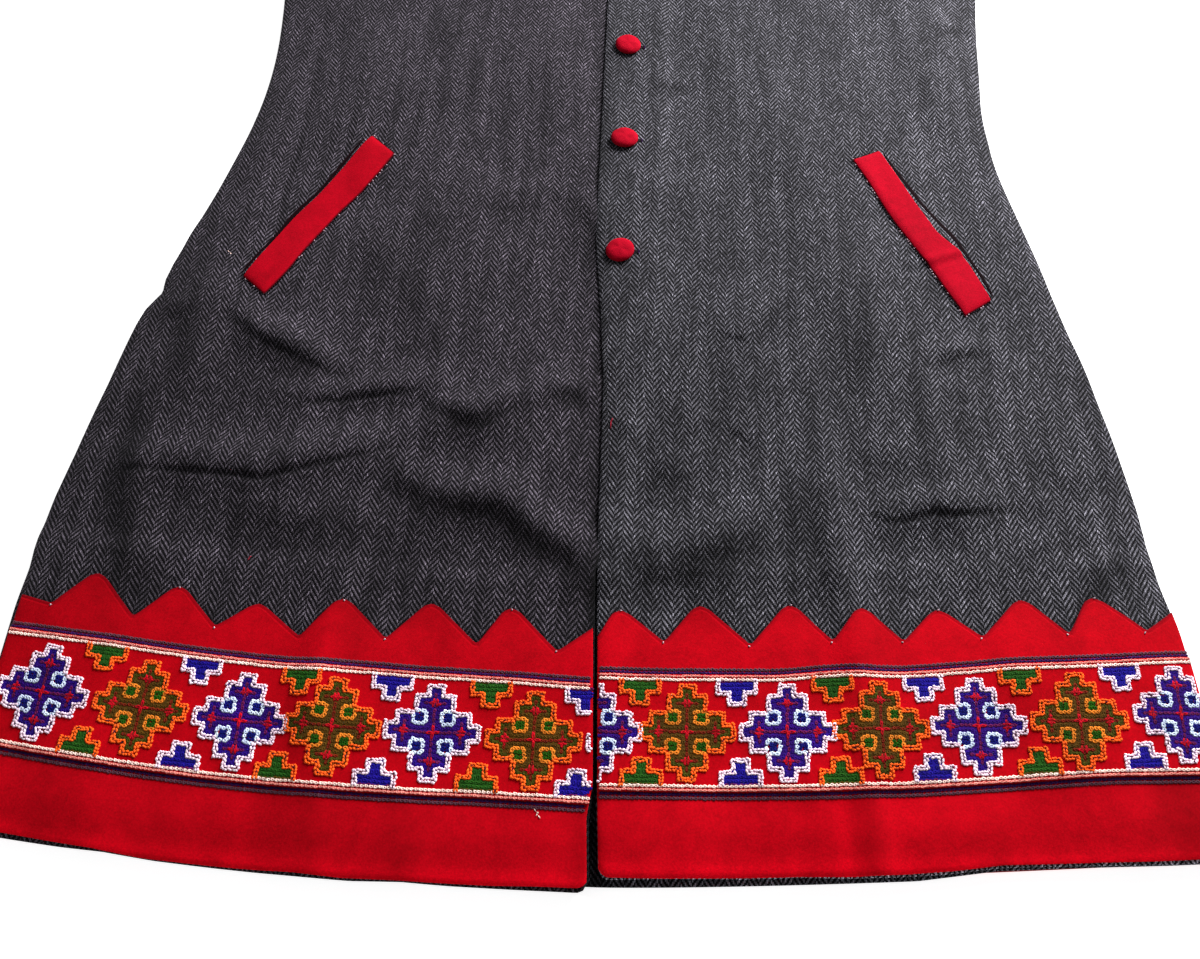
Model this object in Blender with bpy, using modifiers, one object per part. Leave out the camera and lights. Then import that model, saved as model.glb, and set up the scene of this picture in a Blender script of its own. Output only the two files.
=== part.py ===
# A long sleeveless coat-vest of herringbone wool, laid flat and buttoned.
# The hem is at -Y, the neck at +Y and the fronts face +Z.  The back lies on the
# surface, the under front (-X side) and the over front (+X side) lie on the back,
# and the red hem bands, embroidered strips, braids, pocket welts and buttons lie
# on those.  Heights run up the garment from the lowest point of its hem.

import math

import bmesh
import bpy

# ---- driving dimensions, in metres ----

LENGTH = 0.960                # hem to the highest point of the shoulder
TWEED = 0.0018                # thickness of the herringbone cloth
RED_CLOTH = 0.0012            # thickness of the hem bands and pocket welts
STRIP_CLOTH = 0.0010          # thickness of an embroidered strip on a front
GAP = 0.0003                  # clearance between two pieces that touch
CENTRE_X = 0.0035             # the line of buttons, from the middle of the box

SIDE_SEAM_TOP = 0.690         # height of the armhole's lowest point
FRONT_NECK_LOW = 0.775        # height where the front neckline leaves the front edge
NECK_HALF = 0.085             # half the width of the neck at the shoulder
FRONT_NECK_BEND = 0.85        # under 1 the front neckline bows out, at 1 it is straight
SHOULDER_HALF = 0.200         # half the width across the shoulders
SHOULDER_FALL = 0.042         # how far the shoulder falls from neck to armhole
BACK_NECK_DEPTH = 0.022
BACK_NECK_BEND = 0.5          # 0.5 makes the back neckline half an ellipse

BAND_LOW = 0.003              # the tweed shows this far below a hem band
STRIP_LOW, STRIP_HIGH = 0.0384, 0.0924
BRAID_WIDTH, BRAID_HEIGHT = 0.0038, 0.0014
BRAID_FLAT_SHARE = 0.45       # how much of a braid's width is flat on top
BRAID_SIDE_SHARE = 0.55       # how much of its height stands straight up
BRAID_LOWS = {"lower": 0.0343, "upper": 0.0927}
FLUSH = RED_CLOTH             # thickness of the back's strip and braids

# Heights where the cloth above steps over the back's strip, and down past its band.
# The fronts step a little further out, because they don't lie square on the back.
BACK_STRIP_STEPS = (0.027, 0.031, 0.097, 0.100)
BACK_BAND_STEP = (0.134, 0.146)
FRONT_STRIP_STEPS = (0.018, 0.023, 0.1005, 0.104)
FRONT_BAND_STEP = (0.139, 0.151)
LAP_STEP = (0.127, 0.138)     # where the over front climbs onto the under front
EDGE_ROWS = (0.031, 0.045)    # where the two front edges come together

WELT_LENGTH, WELT_WIDTH = 0.125, 0.0195
WELT_CENTRE = (0.1777, 0.3707)
WELT_LEAN = math.radians(27.3)
WELT_ROUND = 0.0003

BUTTON_RADIUS, BUTTON_RISE = 0.0090, 0.0068
BUTTON_FIRST, BUTTON_PITCH, BUTTON_COUNT = 0.346, 0.084, 6
BUTTON_RIM_SHARE = 0.30       # height of the dome's widest ring, as a share of its rise
BUTTON_FOOT_SHARE = 0.86      # radius of the flat back, as a share of the widest ring
BUTTON_DOME_ANGLES = [0.0, 30.0, 58.0, 80.0, 90.0]
BUTTON_STEPS = 16

CREASE_ANGLE = math.radians(40.0)   # edges sharper than this are shaded as edges

# Half widths of the body on the under and over sides, from the button line.
BODY_SECTIONS = [
    {"height": 0.000, "under": 0.2880, "over": 0.2810},
    {"height": 0.106, "under": 0.2872, "over": 0.2772},
    {"height": 0.146, "under": 0.2866, "over": 0.2709},
    {"height": 0.206, "under": 0.2805, "over": 0.2660},
    {"height": 0.266, "under": 0.2715, "over": 0.2577},
    {"height": 0.306, "under": 0.2608, "over": 0.2490},
    {"height": 0.346, "under": 0.2527, "over": 0.2419},
    {"height": 0.386, "under": 0.2426, "over": 0.2328},
    {"height": 0.426, "under": 0.2337, "over": 0.2255},
    {"height": 0.466, "under": 0.2290, "over": 0.2240},
    {"height": 0.506, "under": 0.2295, "over": 0.2272},
    {"height": 0.546, "under": 0.2334, "over": 0.2310},
    {"height": 0.620, "under": 0.2430, "over": 0.2420},
    {"height": 0.690, "under": 0.2520, "over": 0.2520},
]

# Half widths at the armhole, which is cut deeper in the fronts than in the back.
ARMHOLE_SECTIONS = [
    {"height": 0.690, "front": 0.2520, "back": 0.2520},
    {"height": 0.702, "front": 0.2350, "back": 0.2400},
    {"height": 0.720, "front": 0.2190, "back": 0.2280},
    {"height": 0.745, "front": 0.2050, "back": 0.2170},
    {"height": 0.775, "front": 0.1960, "back": 0.2090},
    {"height": 0.815, "front": 0.1905, "back": 0.2035},
    {"height": 0.865, "front": 0.1915, "back": 0.2015},
    {"height": 0.915, "front": 0.1960, "back": 0.2005},
    {"height": 0.960, "front": 0.2000, "back": 0.2000},
]

# The over front's free edge, from the button line, and how far it laps the under front.
FRONT_EDGE_SECTIONS = [
    {"height": 0.000, "edge": 0.0005, "lap": -0.0032},
    {"height": 0.031, "edge": -0.0010, "lap": -0.0032},
    {"height": 0.045, "edge": -0.0015, "lap": -0.0005},
    {"height": 0.134, "edge": -0.0051, "lap": -0.0005},
    {"height": 0.146, "edge": -0.0054, "lap": -0.0005},
    {"height": 0.160, "edge": -0.0057, "lap": 0.0030},
    {"height": 0.254, "edge": -0.0066, "lap": 0.0170},
    {"height": 0.299, "edge": -0.0098, "lap": 0.0250},
    {"height": 0.353, "edge": -0.0148, "lap": 0.0320},
    {"height": 0.960, "edge": -0.0158, "lap": 0.0320},
]

# The hem rises from the front edges to the side seams.
HEM_SHAPES = {
    "under": {"start": 0.0, "rise": 0.0145, "power": 2.8},
    "over": {"start": 0.0055, "rise": 0.0175, "power": 1.35},
    "back under": {"start": 0.0030, "rise": 0.0115, "power": 2.5},
    "back over": {"start": 0.0030, "rise": 0.0200, "power": 1.3},
}
HEM_SETTLED = 0.480           # the rows are level again from this height

# How far a hem band stops short of its panel's edges.
BAND_INSETS = {
    "under": {"edge": 0.0025, "side": 0.0030},
    "over": {"edge": 0.0004, "side": 0.0004},
    "back": {"side": 0.0010},
}

# The hand-cut points of each front band: distance from the front edge to a tip and
# to the valley after it, and the heights of both above the hem.
POINTS = {
    "under": [
        {"tip": 0.003, "high": 0.1190, "valley": 0.020, "low": 0.1085},
        {"tip": 0.043, "high": 0.1275, "valley": 0.061, "low": 0.1100},
        {"tip": 0.082, "high": 0.1285, "valley": 0.103, "low": 0.1115},
        {"tip": 0.126, "high": 0.1300, "valley": 0.145, "low": 0.1105},
        {"tip": 0.167, "high": 0.1240, "valley": 0.187, "low": 0.1105},
        {"tip": 0.208, "high": 0.1270, "valley": 0.228, "low": 0.1095},
        {"tip": 0.251, "high": 0.1280, "valley": 0.270, "low": 0.1100},
    ],
    "over": [
        {"tip": 0.013, "high": 0.1240, "valley": 0.033, "low": 0.1080},
        {"tip": 0.051, "high": 0.1250, "valley": 0.074, "low": 0.1060},
        {"tip": 0.095, "high": 0.1250, "valley": 0.114, "low": 0.1080},
        {"tip": 0.130, "high": 0.1225, "valley": 0.147, "low": 0.1060},
        {"tip": 0.166, "high": 0.1190, "valley": 0.185, "low": 0.1055},
        {"tip": 0.207, "high": 0.1225, "valley": 0.227, "low": 0.1060},
        {"tip": 0.243, "high": 0.1235, "valley": 0.264, "low": 0.1075},
    ],
}
POINT_ENDS = {"under": 0.1160, "over": 0.1140}   # band height at its two ends
BACK_POINT_PITCH, BACK_POINT_HIGH, BACK_POINT_LOW = 0.040, 0.125, 0.108
TIP_ROUND, TIP_DROP = 0.0040, 0.0016             # a tip's rounding
POINT_LEAST = 0.0010          # a point's corners keep this far from the band's ends

# Grid of a front: three columns carry the lap near its edge, and the others stand at
# shares of the way to the side seam.
LAP_REACH, LAP_FALL, LAP_LEAST = 0.0015, 0.012, 0.006
LAP_MOST_SHARE, FALL_MOST_SHARE = 0.2, 0.1       # of the panel's width, for the narrow shoulder
LAP_COLUMNS, EDGE_COLUMNS = 2, 3
FRONT_SHARES = [0.10, 0.20, 0.29, 0.36, 0.43, 0.50, 0.59, 0.70, 0.81, 0.90, 0.96, 1.0]
COLUMN_COUNT = EDGE_COLUMNS + len(FRONT_SHARES)
HEM_ROWS = [0.0, *FRONT_STRIP_STEPS[:2], *EDGE_ROWS, *FRONT_STRIP_STEPS[2:], *LAP_STEP, FRONT_BAND_STEP[1]]
BACK_HEM_ROWS = [0.0, *BACK_STRIP_STEPS, *BACK_BAND_STEP]
FOLD_ROWS = [0.160 + 0.0133 * k for k in range(12)]
HIP_ROWS = [0.325, 0.346, 0.386, 0.426, 0.466, 0.506, 0.546, 0.620]
ARMHOLE_ROWS = [0.690, 0.702, 0.720, 0.745, 0.775, 0.815, 0.865, 0.915, 0.942, 0.960]
FRONT_ROWS = HEM_ROWS + FOLD_ROWS + HIP_ROWS + ARMHOLE_ROWS
BACK_ROWS = BACK_HEM_ROWS + [0.206, 0.266, 0.306] + HIP_ROWS[1:] + ARMHOLE_ROWS
BACK_COLUMNS = 14
BACK_SHARES = [2.0 * k / BACK_COLUMNS - 1.0 for k in range(BACK_COLUMNS + 1)]

# Soft folds raised in the fronts, from the button line and the hem, and the two
# broad ridges that run up through the bands.
FOLDS = [
    {"front": "under", "from": (-0.262, 0.203), "to": (-0.120, 0.220), "rise": 0.0030, "wide": 0.0100},
    {"front": "under", "from": (-0.105, 0.196), "to": (-0.060, 0.190), "rise": 0.0030, "wide": 0.0100},
    {"front": "under", "from": (-0.060, 0.190), "to": (-0.030, 0.172), "rise": 0.0026, "wide": 0.0100},
    {"front": "under", "from": (-0.205, 0.284), "to": (-0.155, 0.266), "rise": 0.0022, "wide": 0.0085},
    {"front": "under", "from": (-0.140, 0.250), "to": (-0.060, 0.248), "rise": 0.0022, "wide": 0.0095},
    {"front": "under", "from": (-0.264, 0.250), "to": (-0.262, 0.165), "rise": 0.0018, "wide": 0.0080},
    {"front": "over", "from": (0.030, 0.164), "to": (0.072, 0.182), "rise": 0.0020, "wide": 0.0090},
    {"front": "over", "from": (0.145, 0.188), "to": (0.195, 0.196), "rise": 0.0024, "wide": 0.0095},
]
RIDGES = {
    "under": {"share": 0.43, "wide": 0.045, "rise": 0.0022, "fades": 0.240},
    "over": {"share": 0.36, "wide": 0.045, "rise": 0.0026, "fades": 0.255},
}
FOLD_FADE = 0.020             # the folds die out over this height above the bands
MOST_LIFT = 0.0034            # no fold leaves more room than this under the cloth

SIGNS = {"under": -1.0, "over": 1.0}
FINISHES = {
    "tweed": {"color": (0.055, 0.052, 0.060, 1.0), "roughness": 0.92},
    "red cloth": {"color": (0.56, 0.006, 0.018, 1.0), "roughness": 0.88},
    "embroidery": {"color": (0.60, 0.03, 0.04, 1.0), "roughness": 0.75},
    "braid": {"color": (0.045, 0.022, 0.055, 1.0), "roughness": 0.85},
}


# ---- reading the tables ----

def smooth(value, start, end):
    share = min(max((value - start) / (end - start), 0.0), 1.0)
    return share * share * (3.0 - 2.0 * share)


def ramp(value, start, end):
    return min(max((value - start) / (end - start), 0.0), 1.0)


def along(table, column, height):
    """A straight-line reading of one column of a section table."""
    rows = list(zip(table, table[1:]))
    for low, high in rows:
        if height <= high["height"]:
            share = ramp(height, low["height"], high["height"])
            return low[column] + share * (high[column] - low[column])
    return table[-1][column]


def half_width(side, cut, height):
    if height <= SIDE_SEAM_TOP:
        return along(BODY_SECTIONS, side, height)
    return along(ARMHOLE_SECTIONS, cut, height)


def front_edge(side, height):
    """Where a front's free edge is, measured towards its own side seam."""
    lap_edge = along(FRONT_EDGE_SECTIONS, "edge", height)
    edge = lap_edge if side == "over" else -(lap_edge + along(FRONT_EDGE_SECTIONS, "lap", height))
    neck = ramp(height, FRONT_NECK_LOW, LENGTH) ** FRONT_NECK_BEND
    return edge + (NECK_HALF - edge) * neck


# ---- where a point of the garment lies ----

def hem_rise(shape, out, half):
    form = HEM_SHAPES[shape]
    return form["start"] + form["rise"] * max(out / half, 0.0) ** form["power"]


def row_height(shape, out, half, height):
    """The height that a row reaches at a distance out from the button line."""
    settled = 1.0 - ramp(height, FRONT_BAND_STEP[1], HEM_SETTLED)
    fall = SHOULDER_FALL * ramp(out, NECK_HALF, SHOULDER_HALF)
    if shape.startswith("back"):
        inside = min(out / NECK_HALF, 1.0)
        fall += BACK_NECK_DEPTH * (1.0 - inside ** 2) ** BACK_NECK_BEND
    return height + hem_rise(shape, out, half) * settled - fall * smooth(height, SIDE_SEAM_TOP, LENGTH)


def strip_step(height, steps):
    return (FLUSH + GAP) * (ramp(height, *steps[:2]) - ramp(height, *steps[2:]))


def band_step(height, step):
    return (RED_CLOTH + GAP) * (1.0 - ramp(height, *step))


def back_under_face(height):
    return strip_step(height, BACK_STRIP_STEPS) + band_step(height, BACK_BAND_STEP)


def front_rest(height):
    steps = strip_step(height, FRONT_STRIP_STEPS) + band_step(height, FRONT_BAND_STEP)
    return steps + TWEED + GAP


def fold_lift(side, x, y):
    """The height of the folds at a point, a soft bell across each fold's line."""
    lift = 0.0
    for fold in FOLDS:
        if fold["front"] != side:
            continue
        (x0, y0), (x1, y1) = fold["from"], fold["to"]
        run_x, run_y = x1 - x0, y1 - y0
        length = math.hypot(run_x, run_y)
        share = ((x - x0) * run_x + (y - y0) * run_y) / length ** 2
        nearest = min(max(share, 0.0), 1.0)
        away = math.hypot(x - x0 - nearest * run_x, y - y0 - nearest * run_y)
        lift += fold["rise"] * math.exp(-(away / fold["wide"]) ** 2)
    return lift


def front_lift(side, share, x, y, height):
    """How far a front stands off the back at one point of its grid."""
    ridge = RIDGES[side]
    bell = math.exp(-((share - ridge["share"]) / ridge["wide"]) ** 2)
    fading = 1.0 - ramp(height, FRONT_BAND_STEP[1], ridge["fades"])
    lift = ridge["rise"] * bell * fading
    lift += fold_lift(side, x, y) * smooth(height, FRONT_BAND_STEP[1], FRONT_BAND_STEP[1] + FOLD_FADE)
    return min(lift, MOST_LIFT)


# ---- the grid of a front ----

def front_columns(side, height):
    """Distances of a front's grid columns towards its side seam, at one height."""
    edge = front_edge(side, height)
    half = half_width(side, "front", height)
    lap = LAP_LEAST
    if side == "over":
        lap = max(-front_edge("under", height) + LAP_REACH - edge, LAP_LEAST)
        lap = min(lap, LAP_MOST_SHARE * (half - edge))
    fall = min(LAP_FALL, FALL_MOST_SHARE * (half - edge))
    start = edge + lap + fall
    return [edge, edge + lap, start] + [start + share * (half - start) for share in FRONT_SHARES]


def column_share(column):
    """How far a grid column is across its front, from 0 at the edge to 1 at the side."""
    return 0.0 if column < EDGE_COLUMNS else FRONT_SHARES[column - EDGE_COLUMNS]


def front_point(side, column, height):
    """A point of a front's upper face at a whole grid column."""
    out = front_columns(side, height)[column]
    half = half_width(side, "front", height)
    x = SIGNS[side] * out
    y = row_height(side, out, half, height)
    z = front_rest(height) + TWEED + front_lift(side, column_share(column), x, y, height)
    if side == "over" and column < LAP_COLUMNS:
        z += (TWEED + GAP) * ramp(height, *LAP_STEP)
    return x, y, z


def between_columns(side, place, height):
    """A point of a front's upper face at a place counted in grid columns."""
    column = min(int(place), COLUMN_COUNT - 2)
    share = place - column
    near = front_point(side, column, height)
    far = front_point(side, column + 1, height)
    return tuple(a + share * (b - a) for a, b in zip(near, far))


def column_place(side, out, height):
    """The grid place of a distance towards the side seam, the reverse of front_columns."""
    columns = front_columns(side, height)
    for column, (near, far) in enumerate(zip(columns, columns[1:])):
        if out <= far:
            return column + (out - near) / (far - near)
    return float(len(columns) - 1)


# ---- solids ----

def place(x, y, z):
    return (x + CENTRE_X, y - LENGTH / 2.0, z)


def finish_material(finish):
    material = bpy.data.materials.get(finish)
    if material is None:
        material = bpy.data.materials.new(finish)
        material.use_nodes = True
        shader = material.node_tree.nodes["Principled BSDF"]
        shader.inputs["Base Color"].default_value = FINISHES[finish]["color"]
        shader.inputs["Roughness"].default_value = FINISHES[finish]["roughness"]
        shader.inputs["Metallic"].default_value = 0.0
    return material


def keep(name, mesh, finish, collection):
    mesh.materials.append(finish_material(finish))
    piece = bpy.data.objects.new(name, mesh)
    collection.objects.link(piece)
    return piece


def wall(name, rows, thickness, finish, collection, top_faces=True):
    """A cloth wall lofted through rows of points, each row running across the cloth.

    The rows are the upper face, or the lower one when top_faces is False, and the
    other face lies one thickness away.
    """
    shape = bmesh.new()
    rings = []
    for row in rows:
        low = -thickness if top_faces else 0.0
        lower = [shape.verts.new(place(x, y, z + low)) for x, y, z in row]
        upper = [shape.verts.new(place(x, y, z + low + thickness)) for x, y, z in row]
        rings.append((lower, upper))
    for (lower, upper), (next_lower, next_upper) in zip(rings, rings[1:]):
        ring = lower + upper[::-1]
        next_ring = next_lower + next_upper[::-1]
        for k in range(len(ring)):
            n = (k + 1) % len(ring)
            shape.faces.new((ring[k], ring[n], next_ring[n], next_ring[k]))
    for lower, upper in (rings[0], rings[-1]):
        for k in range(len(lower) - 1):
            shape.faces.new((lower[k], lower[k + 1], upper[k + 1], upper[k]))
    bmesh.ops.recalc_face_normals(shape, faces=shape.faces)
    mesh = bpy.data.meshes.new(name)
    shape.to_mesh(mesh)
    shape.free()
    mesh.shade_smooth()
    mesh.set_sharp_from_angle(angle=CREASE_ANGLE)
    return keep(name, mesh, finish, collection)


def rod(name, centres, width, height, finish, collection):
    """A flat braid lofted along a line of points on the face it lies on."""
    half = width / 2.0
    flat = half * BRAID_FLAT_SHARE
    side = height * BRAID_SIDE_SHARE
    section = [(-half, 0.0), (half, 0.0), (half, side), (flat, height), (-flat, height), (-half, side)]
    shape = bmesh.new()
    rings = [[shape.verts.new(place(x, y + across, z + up)) for across, up in section]
             for x, y, z in centres]
    for ring, following in zip(rings, rings[1:]):
        for k in range(len(section)):
            n = (k + 1) % len(section)
            shape.faces.new((ring[k], ring[n], following[n], following[k]))
    shape.faces.new(rings[0])
    shape.faces.new(rings[-1])
    bmesh.ops.recalc_face_normals(shape, faces=shape.faces)
    mesh = bpy.data.meshes.new(name)
    shape.to_mesh(mesh)
    shape.free()
    return keep(name, mesh, finish, collection)


# ---- the pieces ----

def make_front(side, collection):
    rows = [[front_point(side, column, height) for column in range(COLUMN_COUNT)]
            for height in FRONT_ROWS]
    wall("front_" + side, rows, TWEED, "tweed", collection)


def back_point(share, height):
    """A point of the back's lower face, share running from -1 to 1 across it."""
    side = "under" if share < 0.0 else "over"
    half = half_width(side, "back", height)
    out = abs(share) * half
    y = row_height("back " + side, out, half, height)
    return share * half, y, back_under_face(height)


def make_back(collection):
    rows = [[back_point(share, height) for share in BACK_SHARES] for height in BACK_ROWS]
    wall("back_panel", rows, TWEED, "tweed", collection, top_faces=False)


def tip_stations(tip, high):
    """The three stations that round one tip of a band."""
    return [(tip - TIP_ROUND, high - TIP_DROP), (tip, high), (tip + TIP_ROUND, high - TIP_DROP)]


def read_line(stations, where):
    for (x0, y0), (x1, y1) in zip(stations, stations[1:]):
        if where <= x1:
            return y0 + (y1 - y0) * ramp(where, x0, x1)
    return stations[-1][1]


def make_front_band(side, collection):
    middle = 0.5 * (FRONT_STRIP_STEPS[3] + LAP_STEP[0])
    edge = front_edge(side, middle)
    half = half_width(side, "front", middle)
    inset = BAND_INSETS[side]
    start, end = inset["edge"], half - edge - inset["side"]
    stations = [(start, POINT_ENDS[side])]
    for point in POINTS[side]:
        tip = tip_stations(point["tip"], point["high"])
        stations += [station for station in tip if station[0] > start + POINT_LEAST]
        stations.append((point["valley"], point["low"]))
    stations = [station for station in stations if station[0] < end - POINT_LEAST]
    stations.append((end, POINT_ENDS[side]))

    places = {column_place(side, edge + where, middle) for where, _ in stations}
    first, last = min(places), max(places)
    places |= {float(column) for column in range(COLUMN_COUNT) if first < column < last}
    places = sorted(places)

    rows = []
    for height in (BAND_LOW, *FRONT_STRIP_STEPS[:2], *EDGE_ROWS, *FRONT_STRIP_STEPS[2:]):
        rows.append([between_columns(side, p, height) for p in places])
    top = []
    for p in places:
        where = SIGNS[side] * between_columns(side, p, middle)[0] - edge
        top.append(between_columns(side, p, read_line(stations, where)))
    rows.append(top)
    rows = [[(x, y, z + GAP + RED_CLOTH) for x, y, z in row] for row in rows]
    wall("band_" + side, rows, RED_CLOTH, "red cloth", collection)
    return first, last


def make_front_strip(side, first, last, collection):
    places = [first] + [float(column) for column in range(COLUMN_COUNT) if first < column < last] + [last]
    on_band = GAP + RED_CLOTH + GAP
    rows = [[between_columns(side, p, height) for p in places]
            for height in (STRIP_LOW, EDGE_ROWS[1], STRIP_HIGH)]
    rows = [[(x, y, z + on_band + STRIP_CLOTH) for x, y, z in row] for row in rows]
    wall("strip_" + side, rows, STRIP_CLOTH, "embroidery", collection)
    for level, low in BRAID_LOWS.items():
        line = [between_columns(side, p, low + BRAID_WIDTH / 2.0) for p in places]
        line = [(x, y, z + on_band) for x, y, z in line]
        rod("braid_{}_{}".format(level, side), line, BRAID_WIDTH, BRAID_HEIGHT, "braid", collection)


def back_row(shares, height, z):
    """A row of points of the pieces that lie under the back."""
    row = []
    for share in shares:
        side = "under" if share < 0.0 else "over"
        half = half_width(side, "back", height)
        out = abs(share) * half
        inset = 1.0 - BAND_INSETS["back"]["side"] / half
        row.append((share * half * inset, row_height("back " + side, out * inset, half, height), z))
    return row


def make_back_band(collection):
    half = half_width("under", "back", BACK_POINT_LOW)
    count = round(half / BACK_POINT_PITCH)
    stations = [(-1.0, BACK_POINT_LOW)]
    for k in range(-count, count):
        tip = (k + 0.5) / count
        rounding = TIP_ROUND / half
        stations += [(tip - rounding, BACK_POINT_HIGH - TIP_DROP), (tip, BACK_POINT_HIGH),
                     (tip + rounding, BACK_POINT_HIGH - TIP_DROP), ((k + 1.0) / count, BACK_POINT_LOW)]
    shares = [share for share, _ in stations]
    rows = [back_row(shares, height, strip_step(height, BACK_STRIP_STEPS))
            for height in (BAND_LOW, *BACK_STRIP_STEPS)]
    top = []
    for share, high in stations:
        top += back_row([share], high, 0.0)
    rows.append(top)
    wall("band_back", rows, RED_CLOTH, "red cloth", collection, top_faces=False)


def make_back_strip(collection):
    bands = [("strip_back", STRIP_LOW, STRIP_HIGH, "embroidery")]
    for level, low in BRAID_LOWS.items():
        bands.append(("braid_{}_back".format(level), low, low + BRAID_WIDTH, "braid"))
    for name, low, high, finish in bands:
        rows = [back_row(BACK_SHARES, height, 0.0) for height in (low, high)]
        wall(name, rows, FLUSH, finish, collection, top_faces=False)


def make_welt(side, collection):
    """A flat red strip sewn along the slanted pocket mouth."""
    sign = SIGNS[side]
    face = front_rest(WELT_CENTRE[1]) + TWEED + GAP
    bpy.ops.mesh.primitive_cube_add(size=1.0)
    welt = bpy.context.object
    welt.name = welt.data.name = "welt_" + side
    for corner in welt.data.vertices:
        across = corner.co.x * WELT_WIDTH
        run = corner.co.y * WELT_LENGTH
        turn = sign * WELT_LEAN
        x = sign * WELT_CENTRE[0] + across * math.cos(turn) - run * math.sin(turn)
        y = WELT_CENTRE[1] + across * math.sin(turn) + run * math.cos(turn)
        corner.co = place(x, y, face + (corner.co.z + 0.5) * RED_CLOTH)
    bevel = welt.modifiers.new("edge", "BEVEL")
    bevel.width = WELT_ROUND
    bevel.segments = 1
    welt.data.materials.append(finish_material("red cloth"))
    for holder in list(welt.users_collection):
        holder.objects.unlink(welt)
    collection.objects.link(welt)


def button_profile():
    """Half of a cloth-covered dome, from its crown round to the flat back."""
    profile = []
    for angle in map(math.radians, BUTTON_DOME_ANGLES):
        up = BUTTON_RIM_SHARE + (1.0 - BUTTON_RIM_SHARE) * math.cos(angle)
        profile.append((BUTTON_RADIUS * math.sin(angle), BUTTON_RISE * up))
    return profile + [(BUTTON_RADIUS * BUTTON_FOOT_SHARE, 0.0), (0.0, 0.0)]


def make_buttons(collection):
    mesh = bpy.data.meshes.new("button")
    profile = button_profile()
    shape = bmesh.new()
    line = [shape.verts.new((radius, 0.0, up)) for radius, up in profile]
    for start, end in zip(line, line[1:]):
        shape.edges.new((start, end))
    shape.to_mesh(mesh)
    shape.free()
    mesh.materials.append(finish_material("red cloth"))
    for number in range(1, BUTTON_COUNT + 1):
        height = BUTTON_FIRST + BUTTON_PITCH * (number - 1)
        face = front_rest(height) + 2.0 * TWEED + 2.0 * GAP
        button = bpy.data.objects.new("button_{}".format(number), mesh)
        button.location = place(0.0, height, face)
        screw = button.modifiers.new("turn", "SCREW")
        screw.angle = math.tau
        screw.steps = screw.render_steps = BUTTON_STEPS
        screw.use_merge_vertices = True
        screw.merge_threshold = 0.0001
        screw.use_smooth_shade = True
        collection.objects.link(button)


def main():
    for old in list(bpy.data.objects):
        bpy.data.objects.remove(old, do_unlink=True)
    vest = bpy.data.collections.new("folk coat vest")
    bpy.context.scene.collection.children.link(vest)
    make_back(vest)
    make_back_band(vest)
    make_back_strip(vest)
    for side in ("under", "over"):
        make_front(side, vest)
        first, last = make_front_band(side, vest)
        make_front_strip(side, first, last, vest)
        make_welt(side, vest)
    make_buttons(vest)


main()
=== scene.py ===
import math
from functools import partial

import bmesh
import bpy
import numpy as np
from mathutils import Matrix, Vector


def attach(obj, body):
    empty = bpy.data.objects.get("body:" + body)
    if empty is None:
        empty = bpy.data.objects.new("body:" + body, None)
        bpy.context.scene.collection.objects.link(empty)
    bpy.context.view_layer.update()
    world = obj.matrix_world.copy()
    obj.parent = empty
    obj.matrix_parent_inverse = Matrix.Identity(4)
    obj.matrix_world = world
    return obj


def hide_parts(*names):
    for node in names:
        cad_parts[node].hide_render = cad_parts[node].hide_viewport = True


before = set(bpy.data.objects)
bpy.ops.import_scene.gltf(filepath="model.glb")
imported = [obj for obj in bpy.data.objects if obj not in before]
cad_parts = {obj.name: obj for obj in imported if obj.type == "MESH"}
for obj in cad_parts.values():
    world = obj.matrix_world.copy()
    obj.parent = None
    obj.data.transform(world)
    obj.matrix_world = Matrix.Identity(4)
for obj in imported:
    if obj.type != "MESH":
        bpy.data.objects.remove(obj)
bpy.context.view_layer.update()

signs = {"under": -1.0, "over": 1.0}

# The cut of the vest, in metres. Heights run up from the lowest point of the hem.
vest = {
    "length": 0.96,
    "tweed": 0.0018,
    "redCloth": 0.0012,
    "stripCloth": 0.001,
    "gap": 0.0003,
    "centreX": 0.0035,
    "sideTop": 0.69,
    "neckLow": 0.775,
    "neckHalf": 0.085,
    "neckBend": 0.85,
    "shoulderHalf": 0.2,
    "shoulderFall": 0.042,
    "backNeck": 0.022,
    "settled": 0.48,
    "stripSteps": (0.001, 0.023, 0.1005, 0.128),
    "bandStep": (0.139, 0.151),
    "backStripSteps": (0.027, 0.031, 0.097, 0.1),
    "backBandStep": (0.134, 0.146),
    "lapStep": (0.127, 0.138),
    "lapReach": 0.0015,
    "lapFall": 0.012,
    "corner": 0.0055,       # the front corners of the hem are rounded
    "sideFall": 0.0012,     # the fronts roll down to the side seams
    "hemFall": 0.0016,      # and a little at the hem
    "edgeFall": 0.0008,     # the free edge of the over front is pressed down
}
bandUp = vest["gap"] + vest["redCloth"]
stripUp = 2.0 * vest["gap"] + vest["redCloth"] + vest["stripCloth"]
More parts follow.
